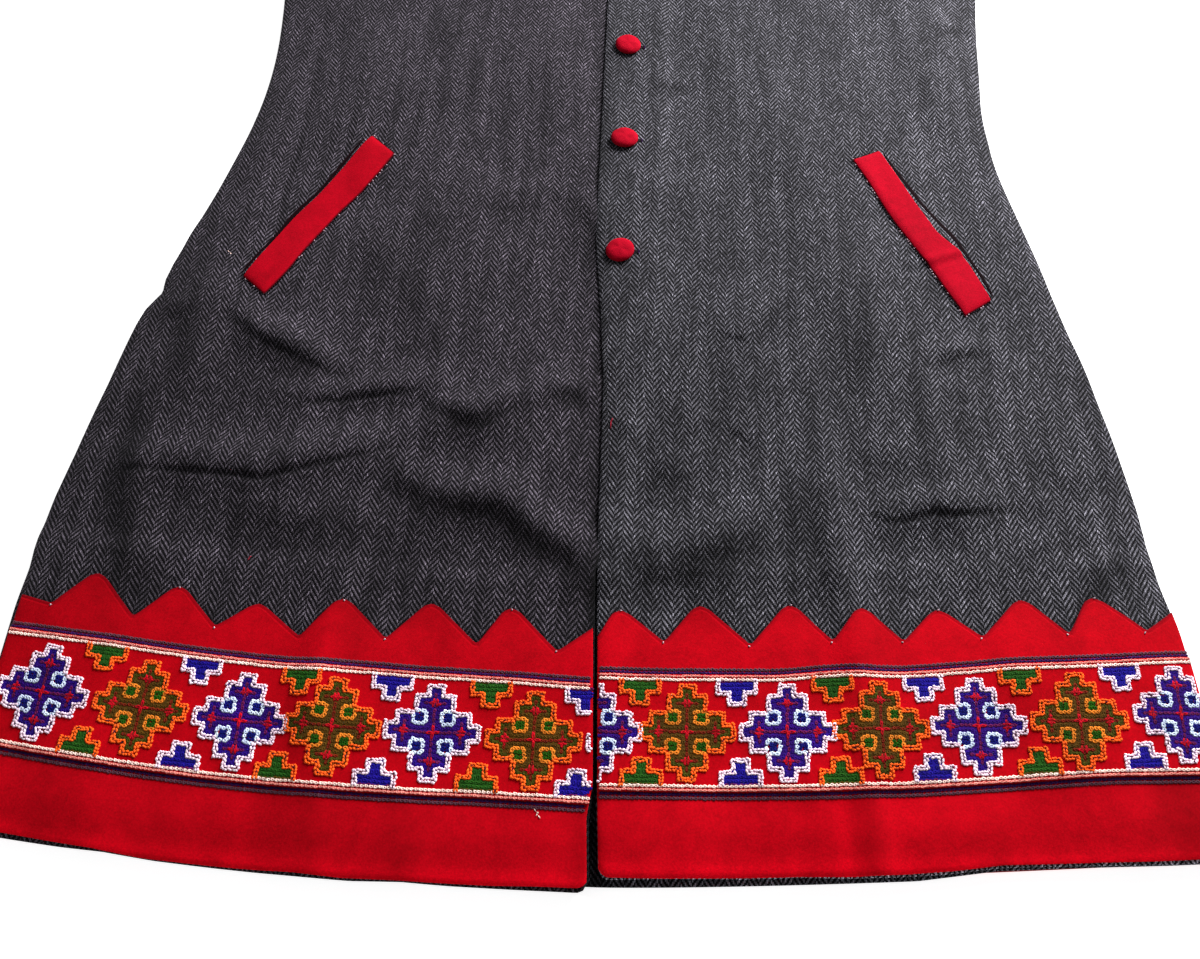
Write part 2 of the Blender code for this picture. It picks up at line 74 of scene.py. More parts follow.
# the side lines of the body, the armholes and the front edges: heights, and half widths or places there
outline = {
    "body": [0.0, 0.106, 0.146, 0.206, 0.266, 0.306, 0.346, 0.386, 0.426, 0.466, 0.506, 0.546, 0.62, 0.69],
    "under": [0.288, 0.2872, 0.2866, 0.2807, 0.2718, 0.2614, 0.2535, 0.2434, 0.235, 0.2304, 0.2304, 0.2338,
        0.243, 0.252],
    "over": [0.281, 0.2759, 0.2694, 0.2656, 0.2583, 0.2488, 0.2419, 0.2333, 0.2257, 0.2241, 0.2279, 0.2314,
        0.242, 0.252],
    # the height, and how far the side is pushed out there by the way the cloth lies, with one small tuck
    "pushed": {
        "under": [(0.13, 0.0008), (0.165, 0.0011), (0.19, 0.0002), (0.236, 0.0002), (0.257, 0.0008),
            (0.267, 0.0012), (0.2775, 0.0018), (0.2885, 0.0019), (0.2965, -0.0004), (0.301, -0.0021),
            (0.3045, -0.0009), (0.3109, 0.0008), (0.322, 0.0014), (0.334, 0.0008), (0.345, 0.0009),
            (0.36, 0.0)],
        "over": [(0.13, 0.0), (0.14, 0.0005), (0.149, 0.0013), (0.157, 0.0018), (0.171, 0.0021),
            (0.185, 0.0016), (0.203, 0.0007), (0.222, 0.0), (0.242, -0.0009), (0.284, -0.001), (0.305, 0.0),
            (0.39, 0.0), (0.425, 0.0008), (0.438, 0.0012), (0.455, 0.0009), (0.5, 0.0007), (0.56, 0.0)],
    },
    "pushedFrom": (0.124, 0.134),
    "arm": [0.69, 0.702, 0.72, 0.745, 0.775, 0.815, 0.865, 0.915, 0.96],
    "front": [0.252, 0.235, 0.219, 0.205, 0.196, 0.1905, 0.1915, 0.196, 0.2],
    "back": [0.252, 0.24, 0.228, 0.217, 0.209, 0.2035, 0.2015, 0.2005, 0.2],
    "edge": [0.0, 0.031, 0.045, 0.134, 0.146, 0.16, 0.254, 0.299, 0.353, 0.96],
    "edgeOver": [0.0005, -0.001, -0.0015, -0.0051, -0.0054, -0.0057, -0.0066, -0.0098, -0.0148, -0.0158],
    "lap": [-0.0032, -0.0032, -0.0005, -0.0005, -0.0005, 0.003, 0.017, 0.025, 0.032, 0.032],
}
hemShapes = {
    "under": {"start": 0.0, "rise": 0.0145, "power": 2.8},
    "over": {"start": 0.0055, "rise": 0.0175, "power": 1.35},
    "backUnder": {"start": 0.003, "rise": 0.0115, "power": 2.5},
    "backOver": {"start": 0.003, "rise": 0.02, "power": 1.3},
}

# Each crease, in tenths of a millimetre: how high the roll above its line is, its width, how deep the line
# is, its width, how much painted shade darkens it from 0 to 1, and the line's points from the middle of the
# front and the hem.
creases = {
    "under": [
        (52, 120, 11, 26, 0.61, [(-2186, 2940), (-2060, 2816), (-1955, 2745), (-1836, 2693), (-1718, 2638),
            (-1602, 2586), (-1487, 2552)]),
        (34, 90, 10, 17, 0.55, [(-1683, 2377), (-1494, 2392), (-1385, 2417), (-1235, 2443), (-1049, 2482)]),
        (56, 140, 13, 18, 0.66, [(-2521, 1937), (-2382, 1942), (-2220, 1939), (-2060, 1931), (-1911, 1921),
            (-1809, 1905), (-1576, 1977), (-1364, 2049), (-1122, 2125)]),
        (56, 130, 12, 40, 0.64, [(-1006, 2386), (-911, 2326), (-810, 2279), (-714, 2267), (-644, 2312),
            (-569, 2367), (-460, 2413)]),
        (64, 150, 11, 58, 0.72, [(-1096, 1871), (-970, 1807), (-812, 1775), (-667, 1767), (-575, 1765),
            (-499, 1708), (-434, 1642), (-335, 1589), (-237, 1534), (-158, 1443), (-65, 1320)]),
        (16, 100, 6, 40, 0.3, [(-1124, 2096), (-1117, 1962), (-1067, 1830)]),
        (16, 90, 9, 45, 0.55, [(-345, 2445), (-206, 2468), (-149, 2391)]),
        (36, 130, 12, 85, 0.64, [(-2556, 2502), (-2541, 2206), (-2545, 2023), (-2514, 1766), (-2440, 1507),
            (-2365, 1300), (-2285, 1184)]),
        (24, 120, 7, 85, 0.46, [(-2458, 3301), (-2437, 3021), (-2416, 2815), (-2382, 2541), (-2357, 2367)]),
        (12, 100, 5, 50, 0.3, [(-2604, 3028), (-2472, 2874)]),
        (18, 150, 5, 90, 0.3, [(-2203, 1784), (-2021, 1715), (-1845, 1678), (-1658, 1630), (-1371, 1603),
            (-1291, 1635), (-1147, 1580), (-1035, 1494)]),
        (10, 100, 4, 60, 0.22, [(-1391, 1819), (-1333, 1560)]),
        (10, 100, 4, 50, 0.16, [(-1919, 2401), (-1683, 2377)]),
        (16, 150, 5, 80, 0.22, [(-862, 3818), (-666, 3757), (-456, 3738)]),
        (14, 100, 5, 45, 0.3, [(-445, 3853), (-286, 3806), (-183, 3647), (-137, 3394), (-123, 3182)]),
        (14, 120, 5, 60, 0.27, [(-1294, 5568), (-1280, 5269), (-1273, 4927)]),
        (10, 80, 4, 35, 0.22, [(-995, 5137), (-990, 4817), (-1021, 4541)]),
        (8, 80, 3, 40, 0.14, [(-1889, 5520), (-1897, 5243), (-1910, 4945)]),
        (9, 100, 4, 55, 0.22, [(-1090, 2933), (-1030, 2761)]),
        (10, 140, 4, 90, 0.16, [(-1614, 3480), (-1446, 3338), (-1340, 3073)]),
        (8, 80, 3, 50, 0.19, [(-1145, 3619), (-1086, 3632)]),
        # the part above the waist has the same sort of creases
        (42, 140, 9, 40, 0.41, [(-2360, 6680), (-2000, 6550), (-1600, 6620)]),
        (34, 150, 7, 50, 0.3, [(-1900, 7350), (-1500, 7120), (-1180, 7080)]),
        (26, 160, 6, 60, 0.22, [(-1200, 6000), (-800, 5920), (-460, 6040)]),
        (14, 120, 5, 60, 0.19, [(-710, 5660), (-640, 6400), (-700, 7000)]),
    ],
    "over": [
        (64, 170, 12, 95, 0.62, [(19, 1552), (141, 1478), (299, 1453), (456, 1510), (616, 1593),
            (758, 1676), (860, 1749)]),
        (16, 110, 5, 70, 0.34, [(191, 2011), (274, 1991), (408, 2040)]),
        (9, 100, 4, 50, 0.16, [(-61, 2334), (146, 2171)]),
        (36, 110, 11, 20, 0.62, [(1320, 1832), (1435, 1794), (1522, 1816), (1633, 1852), (1762, 1844),
            (1919, 1865), (2042, 1881)]),
        (22, 100, 8, 36, 0.37, [(1719, 2726), (1788, 2771), (1925, 2812), (2027, 2826), (2064, 2769)]),
        (16, 120, 6, 45, 0.27, [(1057, 3224), (867, 2997), (751, 2855), (703, 2735)]),
        (12, 140, 4, 70, 0.16, [(688, 2543), (589, 2343), (471, 2200)]),
        (16, 110, 5, 60, 0.22, [(1359, 3199), (1326, 2871), (1253, 2574)]),
        (16, 90, 6, 40, 0.32, [(1985, 5554), (2045, 5354), (2187, 5411), (2263, 5593)]),
        (10, 80, 4, 40, 0.19, [(2153, 5140), (2153, 4829)]),
        (28, 100, 12, 55, 0.56, [(2608, 1727), (2475, 1562), (2359, 1423), (2249, 1292)]),
        (16, 100, 6, 50, 0.24, [(2366, 1969), (2508, 2069), (2606, 2154)]),
        (15, 110, 5, 45, 0.24, [(1957, 1599), (2116, 1624), (2283, 1660)]),
        (16, 100, 6, 60, 0.24, [(2548, 2928), (2533, 2700), (2526, 2484)]),
        (14, 100, 6, 40, 0.27, [(164, 4718), (292, 4772), (471, 4838)]),
        (7, 120, 3, 80, 0.14, [(1561, 2502), (1792, 2512), (1757, 2216)]),
        (9, 140, 4, 80, 0.14, [(1242, 2111), (1499, 2105), (1714, 2028)]),
        (6, 80, 5, 42, 0.42, [(982, 2080), (1000, 1920), (1016, 1760), (1038, 1600), (1055, 1400),
            (1075, 1260)]),
        (6, 70, 3, 35, 0.22, [(905, 2076), (910, 1734), (909, 1413)]),
        # the part above the waist has the same sort of creases
        (40, 140, 9, 40, 0.38, [(2380, 6720), (1960, 6640), (1500, 6780)]),
        (30, 140, 6, 55, 0.27, [(1860, 7420), (1500, 7280), (1200, 7300)]),
        (26, 160, 6, 60, 0.22, [(600, 6400), (960, 6280), (1300, 6340)]),
        (12, 120, 4, 60, 0.16, [(1040, 5600), (980, 6000), (1080, 6500)]),
    ],
    # the back is pressed flat by what lies on it, so its creases only draw it in a little from below
    # and show mostly as painted shade along their lines
    "back": [
        (0, 100, -2.5, 50, 0.42, [(-2150, 2740), (-1620, 2530), (-910, 2620)]),
        (0, 100, -2.5, 60, 0.34, [(2080, 2260), (1380, 2060), (720, 2150)]),
        (0, 100, -2, 55, 0.28, [(-560, 1920), (-40, 1780), (480, 1860)]),
        (0, 100, -2.2, 60, 0.3, [(-1960, 4480), (-1410, 4700), (-780, 4660)]),
        (0, 100, -2.5, 50, 0.38, [(1760, 4720), (1130, 4540), (490, 4600)]),
        (0, 100, -1.8, 70, 0.24, [(-1020, 6620), (-190, 6520), (660, 6690)]),
        (0, 100, -2.2, 60, 0.3, [(-1330, 8440), (-920, 7820), (-740, 7180)]),
        (0, 100, -2.2, 60, 0.27, [(1420, 8510), (1010, 7930), (850, 7290)]),
    ],
}
# Two broad ridges run up through the bands, and the cloth waves a little everywhere.
ridges = {
    "under": {"share": 0.43, "wide": 0.045, "rise": 0.002, "fades": 0.24},
    "over": {"share": 0.41, "wide": 0.034, "rise": 0.0024, "fades": 0.33},
}
waves = [
    {"x": 52.0, "y": 19.0, "turn": 0.4, "rise": 0.0008},
    {"x": -21.0, "y": 46.0, "turn": 2.1, "rise": 0.0006},
    {"x": 97.0, "y": 31.0, "turn": 4.0, "rise": 0.0003},
    {"x": -61.0, "y": 118.0, "turn": 1.2, "rise": 0.00026},
    {"x": 190.0, "y": 34.0, "turn": 5.1, "rise": 0.00016},
    {"x": 143.0, "y": -88.0, "turn": 2.6, "rise": 0.00013},
    {"x": 310.0, "y": 46.0, "turn": 0.9, "rise": 0.00006},
]


def read(table, value):
    return np.interp(value, *zip(*table))


def ramp(value, start, end):
    return np.clip((value - start) / (end - start), 0.0, 1.0)


def smooth(value, start, end):
    share = ramp(value, start, end)
    return share * share * (3.0 - 2.0 * share)


def softTable(heights, values, window):
    # reads a table every 2 mm and eases its corners over the window
    fine = np.arange(heights[0], heights[-1] + 0.001, 0.002)
    reach = max(int(window / 0.002), 1)
    wide = np.pad(np.interp(fine, heights, values), reach, mode="reflect", reflect_type="odd")
    kernel = np.hanning(2 * reach + 3)[1:-1]
    return fine, np.convolve(wide, kernel / kernel.sum(), mode="valid")


bodyLines = {side: softTable(outline["body"], outline[side], 0.03) for side in signs}
armLines = {cut: softTable(outline["arm"], outline[cut], 0.01) for cut in ("front", "back")}


def halfWidth(side, cut, height):
    pushed = read(outline["pushed"][side], height) * ramp(height, *outline["pushedFrom"])
    body = np.interp(height, *bodyLines[side]) + pushed
    return np.where(height <= vest["sideTop"], body, np.interp(height, *armLines[cut]))


def backHalf(x, height):
    return np.where(x < 0.0, halfWidth("under", "back", height), halfWidth("over", "back", height))


def frontEdge(side, height):
    overEdge = np.interp(height, outline["edge"], outline["edgeOver"])
    edge = overEdge if side == "over" else -(overEdge + np.interp(height, outline["edge"], outline["lap"]))
    neck = ramp(height, vest["neckLow"], vest["length"]) ** vest["neckBend"]
    return edge + (vest["neckHalf"] - edge) * neck


def hemRise(shape, out, half):
    form = hemShapes[shape]
    return form["start"] + form["rise"] * np.maximum(out / half, 0.0) ** form["power"]


def rowHeight(shape, out, half, height):
    settled = 1.0 - ramp(height, vest["bandStep"][1], vest["settled"])
    fall = vest["shoulderFall"] * ramp(out, vest["neckHalf"], vest["shoulderHalf"])
    if shape.startswith("back"):
        fall = fall + vest["backNeck"] * np.sqrt(1.0 - np.minimum(out / vest["neckHalf"], 1.0) ** 2)
    fall = fall * smooth(height, vest["sideTop"], vest["length"])
    return height + hemRise(shape, out, half) * settled - fall


def stepUp(height, strips, band):
    strip = smooth(height, *strips[:2]) - smooth(height, *strips[2:])
    return bandUp * (strip + 1.0 - smooth(height, *band))


def besideLine(line, x, y):
    # how far points are from a line, how far to its upper or right-hand side, and their share of its length
    runs = np.hypot(*(line[1:] - line[:-1]).T)
    reached = 0.0
    near = np.full_like(x, 1.0)
    above = np.zeros_like(x)
    along = np.zeros_like(x)
    for start, end, run in zip(line, line[1:], runs):
        step = (end - start) / run
        share = np.clip(((x - start[0]) * step[0] + (y - start[1]) * step[1]) / run, 0.0, 1.0)
        awayX = x - start[0] - share * run * step[0]
        awayY = y - start[1] - share * run * step[1]
        away = np.hypot(awayX, awayY)
        closer = away < near
        turn = 1.0 if 0.8 * step[0] > 0.6 * step[1] else -1.0
        near = np.where(closer, away, near)
        above = np.where(closer, turn * (awayY * step[0] - awayX * step[1]), above)
        along = np.where(closer, (reached + share * run) / runs.sum(), along)
        reached += run
    return near, above, along


def foldCloth(side, x, y):
    # how far the creases lift the cloth, and the painted shade that darkens it along them
    lift = np.zeros_like(x)
    shade = np.zeros_like(x)
    for *sizes, dark, points in creases[side]:
        rise, wide, dip, thin = (size / 10000.0 for size in sizes)
        line = np.array(points) / 10000.0
        low = line.min(axis=0) - 3.0 * wide
        high = line.max(axis=0) + 3.0 * wide
        close = (x > low[0]) & (x < high[0]) & (y > low[1]) & (y < high[1])
        if not close.any():
            continue
        near, above, along = besideLine(line, x[close], y[close])
        taper = np.clip(np.sin(np.pi * (0.06 + 0.88 * along)), 0.0, 1.0) ** 0.7
        roll = np.exp(-((above - 0.62 * wide) / wide) ** 2 - (near / (2.2 * wide)) ** 4)
        core = np.exp(-(near / thin) ** 2)
        lift[close] += taper * (rise * roll - dip * core)
        # painted shade along the crease's line
        shade[close] += taper * dark * np.exp(-(near / (1.25 * thin)) ** 2)
    return lift, np.clip(shade, 0.0, 0.8)


def frontLift(side, out, half, x, y, height):
    edge = frontEdge(side, height)
    start = edge + vest["lapFall"]
    share = np.clip((out - start) / (half - start), 0.0, 1.0)
    ridge = ridges[side]
    fading = 1.0 - ramp(height, vest["bandStep"][1], ridge["fades"])
    lift = ridge["rise"] * np.exp(-((share - ridge["share"]) / ridge["wide"]) ** 2) * fading
    high = height > 0.1
    lift[high] += foldCloth(side, x[high], y[high])[0] * smooth(height[high], 0.1, 0.146)
    for wave in waves:
        lift = lift + wave["rise"] * (0.5 + np.sin(wave["x"] * x + wave["y"] * y + wave["turn"]))
    lift = 0.5 * (lift + np.sqrt(lift ** 2 + 0.0004 ** 2))
    sag = vest["sideFall"] * ramp(out, half - 0.008, half) ** 2
    sag = sag + vest["hemFall"] * (1.0 - ramp(height, 0.0, 0.0045)) ** 2
    return lift * (1.0 - 0.6 * ramp(out, half - 0.02, half)) - sag


def lapLift(height, out, half):
    # the over front climbs onto the under front near its free edge
    edge = frontEdge("over", height)
    lap = np.maximum(-frontEdge("under", height) + vest["lapReach"] - edge, 0.006)
    lap = np.minimum(lap, 0.2 * (half - edge))
    fall = np.minimum(vest["lapFall"], 0.1 * (half - edge))
    climb = (vest["tweed"] + vest["gap"]) * ramp(height, *vest["lapStep"])
    return climb * (1.0 - smooth(out, edge + lap, edge + lap + fall))


def onFront(side, out, height, up=0.0):
    # a point on the upper face of a front, at a distance out from the buttons
    half = halfWidth(side, "front", height)
    x = signs[side] * out
    near = np.clip(out - frontEdge(side, height), 0.0, vest["corner"])
    curl = vest["corner"] - np.sqrt(vest["corner"] ** 2 - (vest["corner"] - near) ** 2)
    y = rowHeight(side, out, half, height) + curl * (1.0 - smooth(height, 0.0, 0.03))
    z = stepUp(height, vest["stripSteps"], vest["bandStep"]) + 2.0 * vest["tweed"] + vest["gap"]
    z = z + frontLift(side, out, half, x, y, height)
    if side == "over":
        edge = frontEdge(side, height)
        z = z + lapLift(height, out, half) - vest["edgeFall"] * (1.0 - ramp(out, edge, edge + 0.006)) ** 2
    return np.stack([x + vest["centreX"], y - vest["length"] / 2.0, z + up], axis=-1)


def faceAt(side, x, y, up=0.0):
    # a point of a front's upper face from its place in the plan
    out = signs[side] * x
    height = np.array(y, dtype=float)
    for k in range(5):
        height = height + y - rowHeight(side, out, halfWidth(side, "front", height), height)
    face = onFront(side, out, height)[..., 2]
    return np.stack([x + vest["centreX"], y - vest["length"] / 2.0, face + up], axis=-1)


def onBack(share, height, up=0.0):
    # a point on the lower face of the back, share running from -1 to 1 across it
    half = backHalf(share, height)
    out = np.abs(share) * half
    yUnder = rowHeight("backUnder", out, half, height)
    y = np.where(share < 0.0, yUnder, rowHeight("backOver", out, half, height))
    z = np.zeros_like(y) + up
    return np.stack([share * half + vest["centreX"], y - vest["length"] / 2.0, z], axis=-1)


# Shader groups and materials.

def fill(tree, node, inputs):
    # links the sockets given, and sets the other inputs to plain values
    for place, value in inputs.items():
        if isinstance(value, bpy.types.NodeSocket):
            tree.links.new(value, node.inputs[place])
        elif value is not None:
            node.inputs[place].default_value = value
    return node


def addNode(tree, kind, *inputs, named=(), **values):
    node = tree.nodes.new(kind)
    for key, value in values.items():
        setattr(node, key, value)
    return fill(tree, node, {**dict(enumerate(inputs)), **dict(named)})


def calc(tree, operation, *inputs):
    return addNode(tree, "ShaderNodeMath", *inputs, operation=operation).outputs[0]


def sums(tree):
    # the sums that the groups below are made of, with short names
    kinds = ("ADD", "SUBTRACT", "MULTIPLY", "DIVIDE", "MULTIPLY_ADD", "FLOOR", "FRACT")
    return [partial(calc, tree, kind) for kind in kinds]


def easeBetween(tree, value, low, high, start=0.0, end=1.0):
    sockets = {0: value, 1: low, 2: high, 3: start, 4: end}
    return addNode(tree, "ShaderNodeMapRange", named=sockets, interpolation_type="SMOOTHSTEP").outputs[0]


def mixColor(tree, share, first, second, blend="MIX"):
    sockets = {0: share, 6: first, 7: second}
    return addNode(tree, "ShaderNodeMix", data_type="RGBA", blend_type=blend, named=sockets).outputs[2]


def shaded(tree, color, strength):
    grey = addNode(tree, "ShaderNodeCombineXYZ", strength, strength, strength).outputs[0]
    return mixColor(tree, 1.0, color, grey, "MULTIPLY")


def noise(tree, vector, scale, detail=2.0, roughness=0.5):
    sockets = {"Vector": vector, "Scale": scale, "Detail": detail, "Roughness": roughness}
    return addNode(tree, "ShaderNodeTexNoise", named=sockets).outputs[0]


def attribute(tree, name, output="Fac"):
    return addNode(tree, "ShaderNodeAttribute", attribute_name=name).outputs[output]


def newGroup(name, inputs):
    group = bpy.data.node_groups.new(name, "ShaderNodeTree")
    for label, value in inputs.items():
        kind = "Color" if isinstance(value, tuple) else "Float" if value else "Vector"
        socket = group.interface.new_socket(label, in_out="INPUT", socket_type="NodeSocket" + kind)
        if value:
            socket.default_value = value
    for label, kind in (("Color", "Color"), ("Height", "Float")):
        group.interface.new_socket(label, in_out="OUTPUT", socket_type="NodeSocket" + kind)
    return group, group.nodes.new("NodeGroupInput"), group.nodes.new("NodeGroupOutput")


def makeHerringbone():
    # long light floats on a dark ground, reversed every half column with a break of half a line
    tree, start, end = newGroup("herringbone", {
        "Cloth": None, "Column": 0.01, "Line": 0.0033, "Rise": 2.0, "Yarn": 0.000625,
        "Light": (0.2, 0.2, 0.2, 1.0), "Dark": (0.02, 0.02, 0.02, 1.0),
    })
    add, minus, times, over, timesAdd, floor, part = sums(tree)
    cloth, column, line, rise, yarn, light, dark = start.outputs[:7]
    split = addNode(tree, "ShaderNodeSeparateXYZ", cloth).outputs
    along = add(split[1], times(minus(noise(tree, cloth, 260.0), 0.5), 0.0007))
    ends = over(split[0], yarn)
    endIndex = floor(ends)
    middle = times(add(endIndex, 0.5), yarn)
    half = times(column, 0.5)
    zigzag = over(calc(tree, "PINGPONG", middle, half), half)
    halfIndex = floor(over(middle, half))
    broken = times(calc(tree, "FLOORED_MODULO", halfIndex, 2.0), 0.5)
    phase = add(over(along, line), add(times(zigzag, rise), broken))
    floatShare = part(phase)
    closing = easeBetween(tree, floatShare, 0.42, 0.58, 1.0, 0.0)
    mask = times(easeBetween(tree, floatShare, 0.0, 0.14), closing)
    spot = addNode(tree, "ShaderNodeCombineXYZ", endIndex, floor(phase), 0.0).outputs[0]
    chance = addNode(tree, "ShaderNodeTexWhiteNoise", spot, noise_dimensions="2D").outputs[0]
    belly = calc(tree, "SINE", times(part(ends), math.pi))
    vary = timesAdd(times(chance, chance), 1.15, 0.5)
    fleck = easeBetween(tree, chance, 0.978, 0.992, 0.0, 0.75)
    stretched = addNode(tree, "ShaderNodeVectorMath", cloth, (110.0, 10.0, 1.0), operation="MULTIPLY")
    streaks = noise(tree, stretched.outputs[0], 1.0, 3.0)
    patches = noise(tree, cloth, 34.0, 3.0)
    strand = addNode(tree, "ShaderNodeTexWhiteNoise", None, halfIndex, noise_dimensions="1D").outputs[0]
    uneven = timesAdd(streaks, 1.3, timesAdd(patches, 0.8, -0.17))
    worn = calc(tree, "MAXIMUM", timesAdd(strand, 0.24, uneven), 0.35)
    # painted shade: each yarn is darker towards its rounded sides
    strength = times(times(timesAdd(belly, 0.34, 0.66), add(vary, fleck)), worn)
    color = shaded(tree, mixColor(tree, mask, dark, light), strength)
    picks = calc(tree, "SINE", times(over(along, line), 8.0 * math.pi))
    raised = times(mask, timesAdd(belly, 0.6, 0.4))
    fuzz = times(noise(tree, cloth, 2400.0, 1.0), 0.22)
    height = add(add(timesAdd(picks, 0.12, 0.18), raised), fuzz)
    fill(tree, end, {0: color, 1: height})
    return tree


def makeNap():
    # fulled wool: fibres matted over the weave, brushed a little unevenly
    sockets = {"Cloth": None, "Color": (0.5, 0.01, 0.02, 1.0), "Unevenness": 0.22}
    tree, start, end = newGroup("woolNap", sockets)
    add, minus, times, over, timesAdd = sums(tree)[:5]
    cloth, base, uneven = start.outputs[:3]
    fine = noise(tree, cloth, 900.0, 4.0, 0.75)
    soft = noise(tree, cloth, 120.0, 3.0, 0.6)
    broad = noise(tree, cloth, 24.0, 2.0, 0.5)
    centred = minus(over(add(times(fine, 2.0), add(soft, broad)), 4.0), 0.5)
    strength = add(times(times(centred, uneven), 10.0), 1.0)
    fill(tree, end, {0: shaded(tree, base, strength), 1: timesAdd(soft, 0.6, fine)})
    return tree


groups = {"herringbone": makeHerringbone(), "nap": makeNap()}
# roughness, gloss, sheen and its color
finishes = {
    "tweed": (0.92, 0.1, 0.035, (0.8, 0.8, 0.9, 1.0)),
    "red": (0.9, 0.04, 0.05, (1.0, 0.05, 0.1, 1.0)),
    "yarn": (0.8, 0.07, 0.02, (1.0, 1.0, 1.0, 1.0)),
}


def newMaterial(name, finish):
    material = bpy.data.materials.new(name)
    material.use_nodes = True
    tree = material.node_tree
    rough, gloss, sheen, tint = finishes[finish]
    shader = fill(tree, tree.nodes["Principled BSDF"], {
        "Roughness": rough, "Specular IOR Level": gloss, "Sheen Weight": sheen, "Sheen Roughness": 0.5,
        "Sheen Tint": tint,
    })
    return material, tree, shader


def placeGroup(tree, name, **inputs):
    return addNode(tree, "ShaderNodeGroup", node_tree=groups[name], named=inputs).outputs


def dress(tree, shader, color, height, strength, distance):
    sockets = {"Strength": strength, "Distance": distance, "Height": height}
    bump = addNode(tree, "ShaderNodeBump", named=sockets)
    fill(tree, shader, {"Base Color": color, "Normal": bump.outputs[0]})


def tweedMaterial(name, light, dark):
    material, tree, shader = newMaterial(name, "tweed")
    cloth = addNode(tree, "ShaderNodeUVMap", uv_map="cloth").outputs[0]
    weave = placeGroup(tree, "herringbone", Cloth=cloth, Light=light, Dark=dark)
    # the sheet's painted light and shade, multiplied into the weave's colour
    color = shaded(tree, weave["Color"], attribute(tree, "worn"))
    dress(tree, shader, color, weave["Height"], 0.55, 0.0005)
    return material


def redMaterial(name, color, rimDark=0.0, grooveDark=0.0):
    material, tree, shader = newMaterial(name, "red")
    cloth = tree.nodes.new("ShaderNodeTexCoord").outputs["Object"]
    nap = placeGroup(tree, "nap", Cloth=cloth, Color=color)
    color, height = nap["Color"], nap["Height"]
    if rimDark:
        # the turned edge is darker within about a millimetre of its edge, and painted shade darkens the
        # stitched groove in from it
        minus, times = sums(tree)[1:3]
        away = attribute(tree, "seam")
        line = calc(tree, "ABSOLUTE", minus(away, 0.0015))
        groove = easeBetween(tree, line, 0.0001, 0.0008, grooveDark, 0.0)
        rim = easeBetween(tree, away, 0.0003, 0.0012, rimDark, 0.0)
        color = mixColor(tree, calc(tree, "MAXIMUM", groove, rim), color, (0.05, 0.0006, 0.004, 1.0))
        height = minus(height, times(groove, 8.0))
        # the band's painted light and shade
        color = shaded(tree, color, attribute(tree, "tone"))
    dress(tree, shader, color, height, 0.35, 0.0003)
    return material


def yarnMaterial(name):
    material, tree, shader = newMaterial(name, "yarn")
    place = tree.nodes.new("ShaderNodeTexCoord").outputs["Object"]
    nap = placeGroup(tree, "nap", Cloth=place, Color=attribute(tree, "yarn", "Color"), Unevenness=0.3)
    dress(tree, shader, nap["Color"], nap["Height"], 0.4, 0.00025)
    return material


materials = {
    # the under tweed is darker and mauver than the over: partly a tint of its own, partly painted shade on
    # the left front
    "tweedUnder": tweedMaterial("tweedUnder", (0.093, 0.08, 0.101, 1.0), (0.0016, 0.0012, 0.0019, 1.0)),
    "tweedOver": tweedMaterial("tweedOver", (0.123, 0.119, 0.141, 1.0), (0.0027, 0.0026, 0.0033, 1.0)),
    "redCloth": redMaterial("redCloth", (0.42, 0.0004, 0.0055, 1.0), rimDark=0.6, grooveDark=0.2),
    # the under welt's red is a little darker than the over welt's: painted shade on the left welt
    "weltUnder": redMaterial("weltUnder", (0.37, 0.0004, 0.008, 1.0), rimDark=0.85),
    "weltOver": redMaterial("weltOver", (0.4, 0.0005, 0.012, 1.0), rimDark=0.85),
    "stripCloth": redMaterial("stripCloth", (0.44, 0.0004, 0.005, 1.0)),
    "buttonCloth": redMaterial("buttonCloth", (0.36, 0.0012, 0.0125, 1.0)),
    # near black: painted shade for the mouths of the pockets
    "pocketShade": redMaterial("pocketShade", (0.0022, 0.0016, 0.0026, 1.0)),
    "yarn": yarnMaterial("yarn"),
}
print("materials made")


# Sheets of cloth: a grid moved onto the form, then given its thickness.

def addObject(name, data):
    made = bpy.data.objects.new(name, data)
    bpy.context.scene.collection.objects.link(made)
    return made


def addPiece(name, mesh, material):
    mesh.materials.append(materials[material])
    piece = addObject(name, mesh)
    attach(piece, "root")
    return piece


def takeMesh(name, shape):
    mesh = bpy.data.meshes.new(name)
    shape.to_mesh(mesh)
    shape.free()
    return mesh


def evenly(across, along):
    return np.ones_like(across)


def outward(side, across):
    # the share across a front from its free edge
    return across if side == "over" else 1.0 - across


def inPlan(points):
    return points[:, 0] - vest["centreX"], points[:, 1] + vest["length"] / 2.0


def grain(points):
    # the weave's own place, pulled a little off the straight as worn cloth is
    x, y = points[:, 0], points[:, 1]
    pull = 0.0011 * np.sin(29.0 * y + 9.0 * x + 0.6) + 0.0006 * np.sin(61.0 * y - 23.0 * x + 2.0)
    sag = 0.001 * np.sin(24.0 * x + 11.0 * y) + 0.0005 * np.sin(53.0 * x - 17.0 * y + 1.0)
    return np.stack([x + pull, y + sag], axis=-1)


